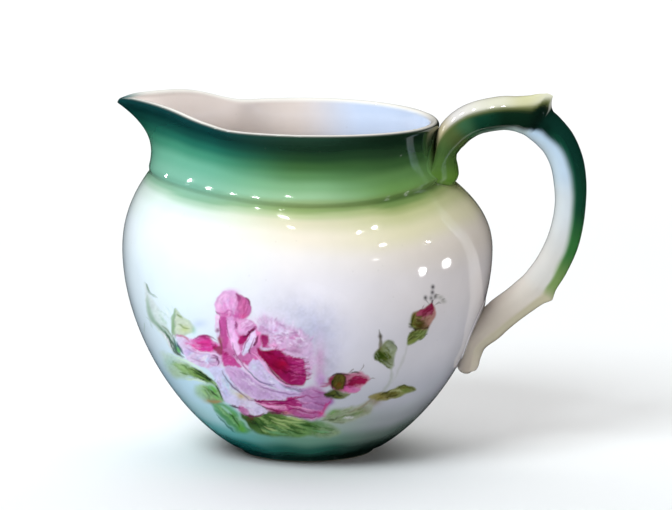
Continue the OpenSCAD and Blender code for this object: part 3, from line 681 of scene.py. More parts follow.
def paint_rose_side(s):
    """The petal that points left, and the broad magenta fold that joins it to the heart."""
    s.piece = 6
    s.petal("-33.3,28.6 -30.4,28.1 -28.4,27.6 -26.6,28.6 -25,28.4 -23.4,27 -21.2,26.2 -20.8,23.8 "
            "-21.4,21.4 -23.4,20.2 -26,20.6 -28.4,21.2 -30,22.4 -31.2,24.6 -32.4,27", "#d696c8", PEARL,
            root=(-21, 26), soft=0.3)
    s.petal("-29.4,26.8 -27.8,27.6 -26.2,28.6 -24.8,28.2 -23.6,26.8 -22.4,25.8 -23.6,24.7 -25.8,24.3 "
            "-28,24.8", "#d82c8c", "#d45ca4", root=(-23, 26), soft=0.4)
    s.wash((-25.6, 28), (1.3, 0.5), "#962860")
    s.wash((-26.2, 25.2), (1.6, 0.6), "#d43e98", 0.9)
    s.wash((-29.6, 26.6), (1.4, 0.7), "#de9ed2", 0.8, -10)
    s.stroke("-33,28.5 -31.2,28.2 -29.8,27.4", 0.5, "#b66c88", 0.75)
    s.wash((-29.8, 24.4), (1.2, 0.8), "#d0b8ec")
    s.wash((-27, 23.2), (1.6, 0.7), "#e2bee4")
    s.wash((-24.8, 22.2), (1.2, 0.9), "#cee2f4")
    s.petal("-24.2,26.6 -22.6,25.8 -20.8,26.2 -20.6,24.2 -21.6,23.6 -23,24.6", "#861646", "#962c50",
            soft=0.35, alpha=0.9)
    s.petal("-20.9,26.8 -19.3,26.2 -18.2,24 -17.2,22 -16.2,20.6 -18.4,20 -20.4,20.4 -21.4,22.4 -21.3,24.8",
            "#b8287a", "#cc5ca0", root=(-19.6, 26), soft=0.35)
    s.wash((-19.2, 22.2), (1.4, 1.4), "#c44290", 0.9)
    s.wash((-20.4, 25), (0.5, 1.3), "#961854")
    s.petal("-16.8,28 -15.8,26.6 -16.4,24.8 -16.6,23.2 -17.2,24.8 -17.2,26.8", "#aa3072", "#be5492",
            soft=0.25)
    s.petal("-16.6,23.4 -15.4,23 -14,23.8 -13.8,22 -14.8,20.8 -16,21.4 -17,22.4", "#b8347a", "#ce62a0",
            soft=0.3)
    s.petal("-14.2,24.4 -12.6,24.8 -11.4,23.2 -10.4,21.8 -11.8,21.4 -13.4,22.4", "#e25ca0", "#ce6eb2",
            soft=0.3)
    s.wash((-12.8, 25), (1.2, 0.6), "#ba2c6e", 0.9, -20)
    s.stroke("-23.6,23.6 -22.8,23.3 -22.4,22.6 -22.6,22", 0.45, "#60365c", 0.8)
    s.stroke("-24.6,22.2 -23.4,21.6 -22.2,21.4", 0.6, "#ba88be", 0.7, soft=0.3)
    s.wash((-23, 20.6), (1.6, 0.8), "#e2b8e0", 0.9)
    s.feathers((-26.8, 26.4), (3, 1.2), "#e63892 #ce64ac #b02264 #f09ad0", 22, fan=(-21, 25), length=1.8,
               width=0.38)
    s.feathers((-27, 23), (3.2, 1.5), "#ead8f6 #cea6da #f8f2fc #c6ccf0", 24, fan=(-21, 26), length=2,
               width=0.4)
    s.feathers((-19.8, 23), (1, 2.8), "#c83e8e #9c145c #dc74ae", 16, turn=8, length=0.9, width=0.4)


def paint_rose_sweep(s):
    """The large pale petals that sweep from the left under the heart."""
    s.piece = 6
    s.petal("-24.6,20.6 -23.4,18 -22.2,15.6 -21.4,13.4 -20.4,12 -18.6,10.9 -16.8,9.4 -14.8,8.6 -11.4,8.6 "
            "-9.6,9.5 -10.4,11.6 -13,13 -16,15 -18.4,17.4 -20.4,20", "#dad6f8", "#e2d4ee", root=(-23, 19),
            soft=0.25)
    s.wash((-20.2, 16.8), (1, 1.5), "#bedef0", 0.85)
    s.wash((-20, 14.2), (1.2, 1), "#cecafa")
    s.wash((-18.6, 14.6), (1.6, 0.8), "#d8e0dc", 0.8, -40)
    s.wash((-16.6, 13.4), (1.5, 0.7), "#ceb88a", 0.9, -30)
    s.wash((-14.6, 13), (1, 0.5), "#ccb4a0", 0.7, -20)
    s.petal("-17.2,11 -16,10.8 -14.8,9.6 -14.6,8.6 -16.2,8.8 -17,9.6", "#be4692", "#ce8cbe", soft=0.35,
            alpha=0.9)
    s.stroke("-15,8.4 -13,8.3 -11,8.6", 0.5, "#8c205c", 0.8, soft=0.25)
    s.stroke("-19,11.2 -17.8,10.7 -16.6,10.2", 0.4, "#502c40", 0.85)
    # The broad petal, the one above it, and the lines between them.
    s.petal("-20.6,20.6 -18,20.6 -15.4,19.4 -12.8,17.2 -9.6,15.6 -6,14.6 -2,14.4 0.8,13.6 -2,12.4 -6,12.4 "
            "-10,12.4 -13.4,12.8 -15.8,14.2 -18,16 -19.8,18.2", "#d6acdc", "#c8aad6", root=(-19, 20),
            edge="#e0c8ec", edge_width=0.4, edge_strength=0.5, soft=0.25)
    s.wash((-12.6, 15.4), (3.6, 1.3), "#cca8d4", 0.8, -35)
    s.wash((-18.4, 19.4), (1.6, 1), "#d8a8d6", 0.8, -20)
    s.stroke("-19.6,18 -18.4,16.4 -17.2,15", 0.45, "#704e84", 0.8)
    s.petal("-14.2,22 -12.4,22.4 -10.8,21.8 -9,19.6 -6.6,17.6 -4.6,16.2 -2,15.6 0,15 -1.6,14.2 -5,14.4 "
            "-8.6,15.6 -11,16.6 -13,18.4 -14.8,20.4", "#decaf0", "#c6b8dc", root=(-13, 21.6),
            edge="#d4a8dc", edge_width=0.3, edge_strength=0.5, soft=0.2)
    s.wash((-13.2, 20.6), (1, 0.9), "#d6dcf0", 0.85)
    s.wash((-8, 17.4), (1.4, 0.7), "#cecce4", 0.8, -40)
    s.wash((-3.6, 15), (1.7, 0.5), "#d0d6e4", 0.8, -8)
    s.stroke("-18.2,24.4 -17.2,22.4 -15.8,20.8 -14.4,19.6", 0.8, "#f4bae4", 0.9, soft=0.22)
    s.stroke("-18.8,24.4 -17.8,22.8 -16.6,21.2 -15.4,20.3", 0.35, "#781e58", 0.75)
    s.stroke("-14.8,19.6 -13.4,18.2 -11.8,16.8 -10.2,16.1 -8.2,15.7", 0.35, "#684a86", 0.75)
    s.stroke("-16,19.4 -15.2,18.8 -14.4,18.4", 0.4, "#9870a4", 0.6, soft=0.25)
    s.stroke("-13.4,18.6 -11,16.2 -8,14.2 -6,13", 0.6, "#ead6f6", 0.7, soft=0.35)
    s.stroke("-12,14.4 -9.6,13.6 -7.4,13", 0.4, "#b68ec0", 0.5, soft=0.3)
    pale = "#e6ccec #bc90c6 #d4b0dc #f2e4f6 #ac7ab6"
    s.feathers((-15.6, 16.8), (4.2, 1.5), pale, 30, turn=-42, length=2.8, width=0.34, alpha=0.45)
    s.feathers((-8.8, 14), (4, 0.9), pale, 22, turn=-20, length=2.8, width=0.32, alpha=0.45)
    cool = "#ece6f8 #c6b4de #d8d8ec #b49ccc"
    s.feathers((-10.2, 18.6), (3.6, 1.2), cool, 22, turn=-44, length=2.4, width=0.32, alpha=0.45)
    s.feathers((-3.4, 14.9), (2.4, 0.5), cool, 12, turn=-8, length=1.8, width=0.3)
    s.feathers((-20.8, 15.8), (3.2, 1.2), cool + " #bedef0", 24, turn=-58, length=2.2, width=0.36,
               alpha=0.5)
    s.feathers((-13.8, 10.4), (2.6, 1), cool + " #e2b4d8", 14, turn=-20, length=1.8, width=0.34)


def paint_rose_heart(s):
    """The deep crimson heart with its feathered right edge."""
    s.piece = 6
    s.petal("-12.6,25.4 -11,24.6 -9,24.8 -7,24.9 -5.6,23.8 -3.6,23.2 -1.2,22.6 -0.4,20.6 -0.2,18 "
            "-0.8,16.2 -2.8,15.9 -4.6,16.2 -6.4,17.4 -8.2,19 -10.2,21.2 -11.8,23", "#8e083e", "#a8286e",
            root=(-10, 22.4), streak=0.3, soft=0.3)
    s.wash((-9.6, 23.2), (1.4, 1), "#980e4e", 0.9)
    s.wash((-6.8, 20.6), (2, 1.5), "#860432", 0.95, -30)
    s.wash((-4.6, 18.4), (2, 1.2), "#920e50", 0.9, -30)
    s.wash((-6.2, 21.4), (1.4, 0.9), "#b00a3a", 0.8, -30)
    s.wash((-7.4, 24.2), (1, 0.6), "#961a60")
    s.stroke("-3.8,22.4 -2,22 -0.6,21.8; -4,20.8 -2.2,20.6 -0.8,20.4; -3.4,18.6 -1.8,18.6 -0.2,18.4; "
             "-5.6,23.4 -4,22.9", 0.4, "#ce609c", 0.55)
    s.stroke("-2,21.4 -0.6,21.6 0.6,22; -1.6,20.2 -0.2,20.1 0.8,20.4; -1.6,19.4 0.6,19.3; -1.4,18.8 "
             "0.2,18.7 1,18.9; -1,17.6 0.4,17.4; -1.6,22.4 -0.4,22.8; -5,21.4 -3.4,21.2; -4.8,19.4 "
             "-3,19.5", 0.42, "#7c1052", 0.75)
    s.stroke("-10.6,21.2 -8.8,19.2 -6.8,17.4 -5,16.4", 0.4, "#700634", 0.75)
    s.stroke("-13.2,24.6 -11.6,22.6 -10,20.8 -8.8,19.4", 0.45, "#e896c8", 0.85)
    s.stroke("-7,16.9 -5.2,15.9 -3.2,15.2 -1.4,15", 0.4, "#882862", 0.8)
    s.stroke("-5,15.6 -3,15.1 -0.6,14.6", 0.35, "#9688aa", 0.7)
    s.wash((-8.2, 26), (1, 0.6), "#e89ed0")
    s.stroke("-8.8,25.9 -8,25.4 -7.2,25.6", 0.35, "#8c2864", 0.7)
    s.feathers((-7.6, 21.4), (4, 1.9), "#96083c #680024 #b01a5c", 26, turn=-34, length=2, width=0.42,
               alpha=0.5)
    s.feathers((-2.6, 19.4), (2, 3), "#d65c9e #921054 #ba3280 #700636", 36, turn=-3, length=2, width=0.28,
               alpha=0.6)
    s.feathers((0.2, 19.6), (0.5, 3), "#a82870 #e2a0ce", 16, turn=2, length=1.2, width=0.24, alpha=0.6)


def paint_rose_front(s):
    """The folded petals along the bottom and the mauve ones low on the right."""
    s.piece = 6
    s.petal("-1.6,14.8 1,15.3 3.4,15 5.4,13.6 6.6,12.2 5.4,11 4,9.2 2.8,7.6 0,7.4 -1.6,8.2 -2,12",
            "#c490c2", "#b276ac", root=(-1.6, 12), soft=0.7, streak=0.3)
    s.wash((1.4, 15), (1.8, 1), "#c08aba")
    s.wash((1.6, 10.6), (2.4, 1.6), "#ac70aa")
    s.wash((5.8, 11.8), (0.9, 0.7), "#a26eba")
    s.stroke("6,12.6 5,11.4 4,9.8 3.4,8.6", 0.7, "#cc3e88", 0.8, soft=0.3)
    s.petal("-13.4,12.6 -10,12.2 -6,12.3 -2.4,12.4 -1.4,10.2 -5,9.4 -8.6,9.9 -10.8,10.6", "#c43c88",
            "#ba3c86", soft=0.25)
    s.stroke("-11.8,11.4 -9,10.6 -6,10.3 -3.4,10.6", 0.7, "#f0a4d4", 0.9)
    s.stroke("-11.4,11.9 -9.2,11.9 -7.6,12", 0.4, "#de60a0", 0.8)
    s.petal("-5,13 -3.4,12.9 -2.6,11.4 -3,9.6 -4.6,9.4 -5.2,11", "#a8206a", "#b43c80", soft=0.35)
    s.stroke("-8.8,11.6 -7.2,11.4 -5.6,11.6", 0.7, "#8c2068", 0.7)
    s.stroke("-5,12.8 -3,13 -0.4,13.5", 0.55, "#b02870", 0.9)
    s.stroke("-2.6,11.8 -1,11.6 1.2,11.5", 0.4, "#eca0ce", 0.7)
    s.stroke("-2.8,11.4 -1,11.3 0.6,11.4; -4,9.9 -1,9.9 1.6,10", 0.35, "#962c6e", 0.7)
    s.petal("-10.4,10.2 -7,9.9 -3,9.8 1,9.8 4,9.4 2.6,7.8 -0.8,7.8 -4,8.6 -7.4,9", "#c04684", "#bc6ea8",
            soft=0.3)
    s.wash((3.4, 9), (0.8, 0.7), "#d64280", 0.85)
    s.wash((-5.6, 9.1), (1.2, 0.35), "#e2a096", 0.7)
    s.stroke("-2.6,9.2 0,9 2.6,8.8", 0.35, "#ce96c4", 0.6)
    s.stroke("0.2,7.6 1.6,7.7 3,7.8", 0.4, "#e6b2ce", 0.7)
    s.stroke("-14.2,12.7 -12.4,12.2 -10.6,12; -13,11.6 -11.4,10.8 -10,9.9; -9.8,9.5 -7.6,9.1 -5.2,9", 0.42,
             "#5c163a", 0.85)
    s.stroke("-9.6,12 -6.6,12.2 -4,12.1", 0.35, "#742258", 0.7)
    s.stroke("-6.4,8.7 -3.6,8.2 -0.8,7.9", 0.4, "#ceced6", 0.7)
    s.feathers((-6.6, 11), (4.6, 0.9), "#d864a4 #96145c #f2b0d8 #b4327c #780e48", 34, turn=-6, length=2.8,
               width=0.28, alpha=0.55)
    s.feathers((1.8, 12), (3, 3), "#d29ccc #a868a2 #c086bc #924886", 34, fan=(-4, 14), length=2.2,
               width=0.36)
    s.feathers((0.6, 9), (3, 0.9), "#c45a9c #a42c72 #dc9cc8", 20, turn=-4, length=2.4, width=0.3)


def paint_rose_lines(s):
    """The fine dark and light lines between the petals, put on last."""
    s.piece = 6
    s.stroke("-12.7,30.6 -13.7,29.6 -14.7,28.7 -16.1,28; -12.5,28.6 -12.4,27.6 -12.7,26.7", 0.4, "#601642",
             0.85)
    s.stroke("-13.1,28 -13.9,26.1 -14.7,24.1; -14.5,28 -15.5,26.1 -16.2,24.1; -17.8,32.1 -17.5,31.2 "
             "-17.6,30.2; -20.1,32.2 -20,30 -19.3,27.6; -22,33 -21.7,30.6 -22,28.4", 0.3, "#962c70", 0.75)
    s.stroke("-22.1,28.2 -21.5,26.5 -21.3,24.9", 0.5, "#7a463e", 0.75)
    s.stroke("-18.8,26.9 -18,24.1 -17,22.6 -14.9,19.2", 0.3, "#862868", 0.8)
    s.stroke("-18.4,23.5 -16.5,20.9 -14.3,18.6 -12.2,16.9 -10.2,16", 0.42, "#f4cef2", 0.85)
    s.stroke("-15.4,20.4 -14.4,19.3 -12.5,17.4 -10,16.3 -8.3,16.2", 0.32, "#6a4c8a", 0.85)
    s.stroke("-12.2,16.2 -9,14.7 -5.1,13.9 -2,13.8", 0.34, "#92689e", 0.8)
    s.stroke("-7.1,16.6 -5.1,15.4 -2,14.6 -0.4,14.7", 0.32, "#8478a0", 0.8)
    s.stroke("-11.2,23.7 -9.8,21 -8.2,18.7 -6.7,17.2 -4.3,16.2 -1.2,16.3", 0.36, "#6c0838", 0.85)
    s.stroke("-13.9,24.1 -12.2,22.6 -10.4,20.4 -8.2,18.1 -6.3,16.6 -4.3,15.8", 0.42, "#f2b8e2", 0.9)
    s.stroke("-21.5,19.8 -19.8,16.9 -18,15.1 -16.5,13.8 -14.7,12.5", 0.38, "#623a6c", 0.85)
    s.stroke("-20.9,20 -19.3,17.3 -17.5,15.5 -15.9,14.2", 0.35, "#ecd6f0", 0.75)
    s.stroke("-14.9,12.4 -11,11.9 -7.5,12 -5.1,12.1 -0.4,13.4", 0.42, "#881056", 0.9)
    s.stroke("-13.3,12 -11,11 -8.2,10.6 -5.5,10.6", 0.45, "#f6aeda", 0.9)
    s.stroke("-11.4,10.6 -8.2,9.7 -5.1,9.3", 0.36, "#680a3a", 0.85)
    s.stroke("-8.6,11.4 -6.8,11.3 -5.1,11.4", 0.6, "#900a54", 0.85)
    s.stroke("-4.7,10.9 -2.4,10.5 -0.2,10.1 2,9.9", 0.36, "#f0a8d4", 0.85)
    s.stroke("-4.7,10.3 -2.4,9.8 0.4,9.2", 0.34, "#841a5e", 0.85)
    s.stroke("-4.3,12.4 -2,11.8 0.3,11.1; -0.8,13.6 1.4,13 3.4,13.2; 1.2,14.8 3,14.2 4.6,14.2; 1.6,11.6 "
             "3.4,11 4.8,11", 0.32, "#a03c80", 0.65)
    s.stroke("-10.4,9.2 -5.1,8.6 -0.4,7.9 2.7,8; -16.6,9.3 -14.5,8.3 -12.2,8.3 -10.6,9", 0.34, "#762854",
             0.8)
    s.stroke("-19.4,11 -18.4,10.7 -17.4,10.5", 0.45, "#482a3e", 0.85)
    # The left petal: its dark top edge, the hot pink under it and the little curl.
    s.stroke("-28.4,27.4 -26.6,28.3 -24.6,28.3 -22.6,27.1", 0.4, "#801a56", 0.75)
    s.stroke("-27.4,26.6 -25.8,26.9 -24.4,26.4", 0.8, "#e83294", 0.6, soft=0.35)
    s.stroke("-28.6,25.4 -26.6,24.1 -24.6,24.1 -23,23.9 -21.5,23.1", 0.34, "#f2def6", 0.8)
    s.stroke("-24,22.9 -22.7,22.8 -22.1,21.7 -22.6,20.8", 0.4, "#6e3864", 0.8)
    s.stroke("-24.9,22.2 -24.2,21.4 -22.9,20.6; -30.6,25.6 -28.8,24.4 -27,23.8; -29.2,22.8 -27.2,22 "
             "-25.4,21.9", 0.4, "#ba80b8", 0.6)
    s.stroke("-32.5,28.2 -31.2,28.5 -30,27.6 -29.4,26.8", 0.5, "#ce849e", 0.75)
    s.stroke("-32.8,27 -31.8,25.2 -31,23.8", 0.6, "#3a4e6c", 0.75)
    # The crown: the fold that divides it, and the darker edge of its right side.
    s.stroke("-22.6,34 -21,34 -19.6,34.8 -18.6,34.4", 0.4, "#be5c9e", 0.65)
    s.stroke("-17.9,39.1 -17.3,38.2 -17.2,36.8", 0.5, "#963e74", 0.7)
    s.stroke("-15.6,37.9 -14.6,37 -14.3,35.8", 0.5, "#843460", 0.75)
    s.stroke("-22.4,35.4 -21.9,37.6 -20,39", 0.5, "#facef0", 0.5, soft=0.3)


def paint_leaf_lines(s):
    """The leaves' outlines and veins, and the brightest and darkest touches of green."""
    s.piece = 0
    s.stroke("-40.1,38.4 -39.9,35.4 -39.1,32.8 -37.1,30.8 -35.1,28.8 -33.5,26.5", 0.9, "#a8c4ac", 0.7,
             soft=0.35, end="#709276")
    s.stroke("-35.6,29.4 -33.9,27.1 -32.6,24.4 -30.9,22.9", 0.5, "#40624c", 0.85, end="#2e4232")
    s.stroke("-40.2,41.6 -39.9,40.6 -39.2,39.4; -36.5,31.1 -35,29.8 -33.7,27.8", 0.42, "#7a9070", 0.75)
    s.stroke("-38.9,38.9 -38.2,38.5 -37.3,37.6", 0.32, "#a0b89e", 0.6)
    s.wash((-27.2, 31.4), (1.6, 1), "#beceee", 0.55)
    s.wash((-28.4, 29.8), (0.7, 1), "#9accc0", 0.6)
    s.stroke("-33,35.1 -33.7,32.8 -33.5,30.1 -33,27.8", 0.7, "#92b288", 0.8, soft=0.3)
    s.stroke("-33.4,28 -32.8,25.6 -31.6,23.7", 0.5, "#2e6858", 0.85)
    s.stroke("-32.6,25.6 -32.1,24.7 -31.8,24.2", 0.5, "#7acc76", 0.85)
    s.wash((-30.6, 30), (1.5, 1), "#c6d48e", 0.75)
    s.stroke("-32.7,33.8 -32.1,33.2 -31.4,33; -32.2,31.2 -30.8,30.4 -29.4,30.2", 0.34, "#6a8654", 0.7)
    s.stroke("-32.5,22.7 -29.2,21.6 -26.9,19.9 -23.6,17.3", 0.42, "#e2f6e6", 0.85)
    s.stroke("-30.2,17.2 -27.6,17.4 -25.3,16.7", 0.45, "#e0f4e6", 0.85)
    s.wash((-31, 20.4), (1.5, 0.7), "#8eb462", 0.7, -24)
    s.wash((-30, 21), (0.8, 0.4), "#668e46", 0.7, -30)
    s.stroke("-29.6,20.4 -27.2,18.9 -25,17.6 -23,16.2; -28.2,19.9 -26,18.8 -24,17.2", 0.42, "#243e20",
             0.85)
    s.stroke("-28.8,19 -26.8,18.2 -25.2,17.4", 0.36, "#80a654", 0.8)
    s.stroke("-23.2,16.4 -22.2,14.8 -21.2,12.4; -24.4,14.8 -23.2,13.8 -22.2,12.8", 0.45, "#2c3c24", 0.8)
    s.stroke("-24.2,15.8 -23.4,15 -22.8,14.2", 0.7, "#6eba54", 0.8)
    s.stroke("-27,16 -25.8,15.4 -24.8,14.4; -26.8,14.8 -25.6,14 -24.8,13; -33.2,21.4 -31.8,20.8 -30.4,20; "
             "-24,17 -23.2,16.6 -22.6,16", 0.5, "#b0d696", 0.7, soft=0.25)
    s.stroke("-26.2,15.6 -25,14.8 -24,13.6; -31.6,21.2 -30.4,20.6 -29.4,19.8; -32,19.4 -30.8,19 "
             "-29.6,18.8", 0.4, "#54803c", 0.65)
    s.stroke("-23.4,13.4 -22.8,12.8 -22,12.2", 0.6, "#86c674", 0.8)
    s.stroke("-25,12.3 -23.2,11.8 -21.4,11.9", 0.7, "#ba8e60", 0.75, soft=0.3)
    s.piece = 1
    s.stroke("-23.2,10.1 -20.4,7.7 -17.4,5", 0.9, "#549864", 0.7, soft=0.3)
    s.stroke("-22.8,8.8 -20.4,6.2 -18,4.2", 0.5, "#2c7462", 0.75)
    s.stroke("-17.4,9 -15.6,6.6 -14.2,5; -21.6,10.8 -20.2,9.8 -19,8.8", 0.6, "#acdaca", 0.75, soft=0.25)
    s.stroke("-17.6,6.6 -16.8,5.4 -15.8,4.4", 0.9, "#6ab450", 0.75, soft=0.3)
    s.stroke("-19.6,9.2 -18.2,7.4 -17,5.6; -14.9,7.9 -12.6,6.2 -11,3.8; -11,8.6 -7.5,6.6 -3.6,5.4 "
             "-0.4,5.2; -13.8,8.4 -11.6,7 -9.8,5; -2,6.4 0.4,5.8 2.7,5.4; -5.6,5.2 -3,4.2 -0.6,3.9", 0.42,
             "#2a4e24", 0.8)
    s.stroke("-9.4,8.2 -5.5,7.1 -0.8,6.6; -9,7.2 -6.4,6.3 -4.4,5.4; -5,8 -2.8,7.5 -0.6,7.2; -11,5.8 "
             "-9.2,5 -7.4,4.4", 0.36, "#bcd08a", 0.8)
    s.stroke("-10.6,4.8 -7.6,4 -5,3.6; 1.4,4.8 3.6,4.4 5.6,4.2", 0.5, "#78b67e", 0.6)


FIRST_COATS = (paint_leaves_left, paint_leaves_below, paint_leaves_right, paint_rose_back, paint_rose_side,
               paint_rose_crown, paint_rose_sweep, paint_rose_heart, paint_rose_front, paint_lower_bud,
               paint_middle_bud, paint_upper_bud)
LAST_LINES = (paint_leaf_lines, paint_rose_lines)


def painted_spray():
    sheet = Sheet((-44, 1.6), (37, 43), 0.18)
    for paint in FIRST_COATS:
        paint(sheet)
    sheet.brush_over()
    for paint in LAST_LINES:
        paint(sheet)
    return sheet


# ---------------------------------------------------------------- meshes

def make_object(name, points, faces, tint, normals=None):
    """A smooth mesh from millimetre points, with its painted colour on every point."""
    mesh = bpy.data.meshes.new(name)
    mesh.from_pydata((points * MM).tolist(), [], faces)
    mesh.validate()
    mesh.polygons.foreach_set("use_smooth", np.ones(len(mesh.polygons), bool))
    layer = mesh.attributes.new("tint", "FLOAT_COLOR", "POINT")
    layer.data.foreach_set("color", np.c_[np.clip(tint, 0, 1), np.ones(len(tint))].ravel())
    if normals is not None:
        mesh.normals_split_custom_set_from_vertices(normals.tolist())
    obj = bpy.data.objects.new(name, mesh)
    bpy.context.scene.collection.objects.link(obj)
    return obj


def lathe_faces(rows, around, first_cap, last_cap):
    """Faces of a grid of points that closes round, with a fan at each end."""
    faces = []
    for i in range(rows - 1):
        for j in range(around):
            k = (j + 1) % around
            faces.append((i * around + j, (i + 1) * around + j, (i + 1) * around + k, i * around + k))
    top = (rows - 1) * around
    faces += [(first_cap, j, (j + 1) % around) for j in range(around)]
    faces += [(last_cap, top + (j + 1) % around, top + j) for j in range(around)]
    return faces


def half_turn(at_lip, beyond):
    """Bearings from the lip round to the handle, closest together at the lip."""
    near = 60 * (np.arange(at_lip) / at_lip) ** 1.35
    return np.concatenate([near, np.linspace(60, 180, beyond)])


def make_body():
    side = half_turn(44, 112)
    a = np.concatenate([side, -side[-2:0:-1]])
    one = np.ones_like(a)
    rows, tints = [], []

    def add(r, z, tint):
        rows.append(at(a, r * one, z * one))
        tints.append(np.broadcast_to(tint, (len(a), 3)))

    under = rgb("#e2e2da")
    for r in (5, 10, 13.6, FOOT_R - FOOT_W, FOOT_R):
        add(r, FOOT_H, under)
    for z in FOOT_H + 0.6 + (BELLY_Z - FOOT_H - 0.6) * np.linspace(0, 1, 64)[:-1] ** 1.25:
        add(lower_radius(z), z, ground(a, z))
    for t in np.linspace(0, 1, 34):
        r, z = shoulder(a, t)
        add(r, z, ground(a, z))
    for t in (0.2, 0.4, 0.6, 0.8):
        z = crease_height(a) + 1.5 * t
        add(crease_radius(a) + ridge_relief(a) * step(t, 0, 1), z, ground(a, z))
    for t in np.linspace(0, 1, 46):
        r, z = collar(a, t)
        add(r, z, ground(a, z))
    r, z = collar(a, 1)
    tip = np.exp(-(((a + 180) % 360 - 180) / 5) ** 2)
    rim_white = mix(np.broadcast_to(rgb("#f2ece2"), (len(a), 3)), rgb("#346868"), tip)
    for b in np.arange(15, 181, 15):
        edge = mix(ground(a, z), rim_white, step(b, 38, 76) * one)
        tint = mix(edge, inner_glaze_and_reflections(a, z), step(b, 120, 180) * one)
        add(r + LIP_T * (cos(b) - 1), z + LIP_T * sin(b), tint)
    outside = len(rows)
    for t in np.linspace(0.97, 0.1, 22):
        r, z = collar(a, t)
        add(r - WALL, z, inner_glaze_and_reflections(a, z))
    for t in np.linspace(0.94, 0.05, 24):
        r, z = inwards(*shoulder(a, t), shoulder_slope(a, t), WALL)
        add(r, z, inner_glaze_and_reflections(a, z))
    for z in np.linspace(47, 3.6, 40):
        r, z = inwards(lower_radius(z), z, lower_slope(z), WALL)
        add(r, z, inner_glaze_and_reflections(a, z))
    low = FOOT_H + WALL + 0.8
    for share in (0.8, 0.6, 0.4, 0.2):
        add(r * share, z * share ** 2 + low * (1 - share ** 2), inner_glaze_and_reflections(a, low))
    grid = np.array(rows)
    for _ in range(5):      # the wall inside runs on smoothly from the collar to the floor
        grid[outside + 1:-1] = (grid[outside:-2] + 2 * grid[outside + 1:-1] + grid[outside + 2:]) / 4
    points = np.vstack([grid.reshape(-1, 3), [(0, 0, FOOT_H), (0, 0, low)]])
    tint = np.vstack([np.vstack(tints), [under, inner_glaze_and_reflections(180, low)]])
    n = len(rows) * len(a)
    return make_object("bowl", points, lathe_faces(len(rows), len(a), n, n + 1), tint)


def make_foot():
    """The turned foot ring: green glaze outside, wiped bare on the edge that it stands on."""
    edge, around, inner_r = 0.7, 192, FOOT_R - FOOT_W
    outline = [(FOOT_R - edge + edge * cos(b), edge + edge * sin(b)) for b in np.arange(-90, 1, 10)]
    outline += [(FOOT_R, z) for z in (1.0, 1.4, FOOT_H)] + [(inner_r, z) for z in (FOOT_H, 1.4, 1.0)]
    outline += [(inner_r + edge + edge * cos(b), edge + edge * sin(b)) for b in np.arange(180, 271, 10)]
    a = np.arange(around) * 360 / around
    points = np.vstack([at(a, r, np.full(around, z)) for r, z in outline])
    every = np.ones((around, 3))
    bare, white = rgb("#cec6b4") * every, rgb("#e2e2da") * every
    tint = []
    for r, z in outline:
        glazed = ground(a, 2.2) * 0.8 if r > FOOT_R - FOOT_W / 2 else white
        tint.append(mix(glazed, bare, (1 - step(z, 0.12, 0.4)) * np.ones(around)))
    n = len(outline)
    faces = [(i * around + j, i * around + (j + 1) % around, (i + 1) % n * around + (j + 1) % around,
              (i + 1) % n * around + j) for i in range(n) for j in range(around)]
    return make_object("foot", points, faces, np.vstack(tint))


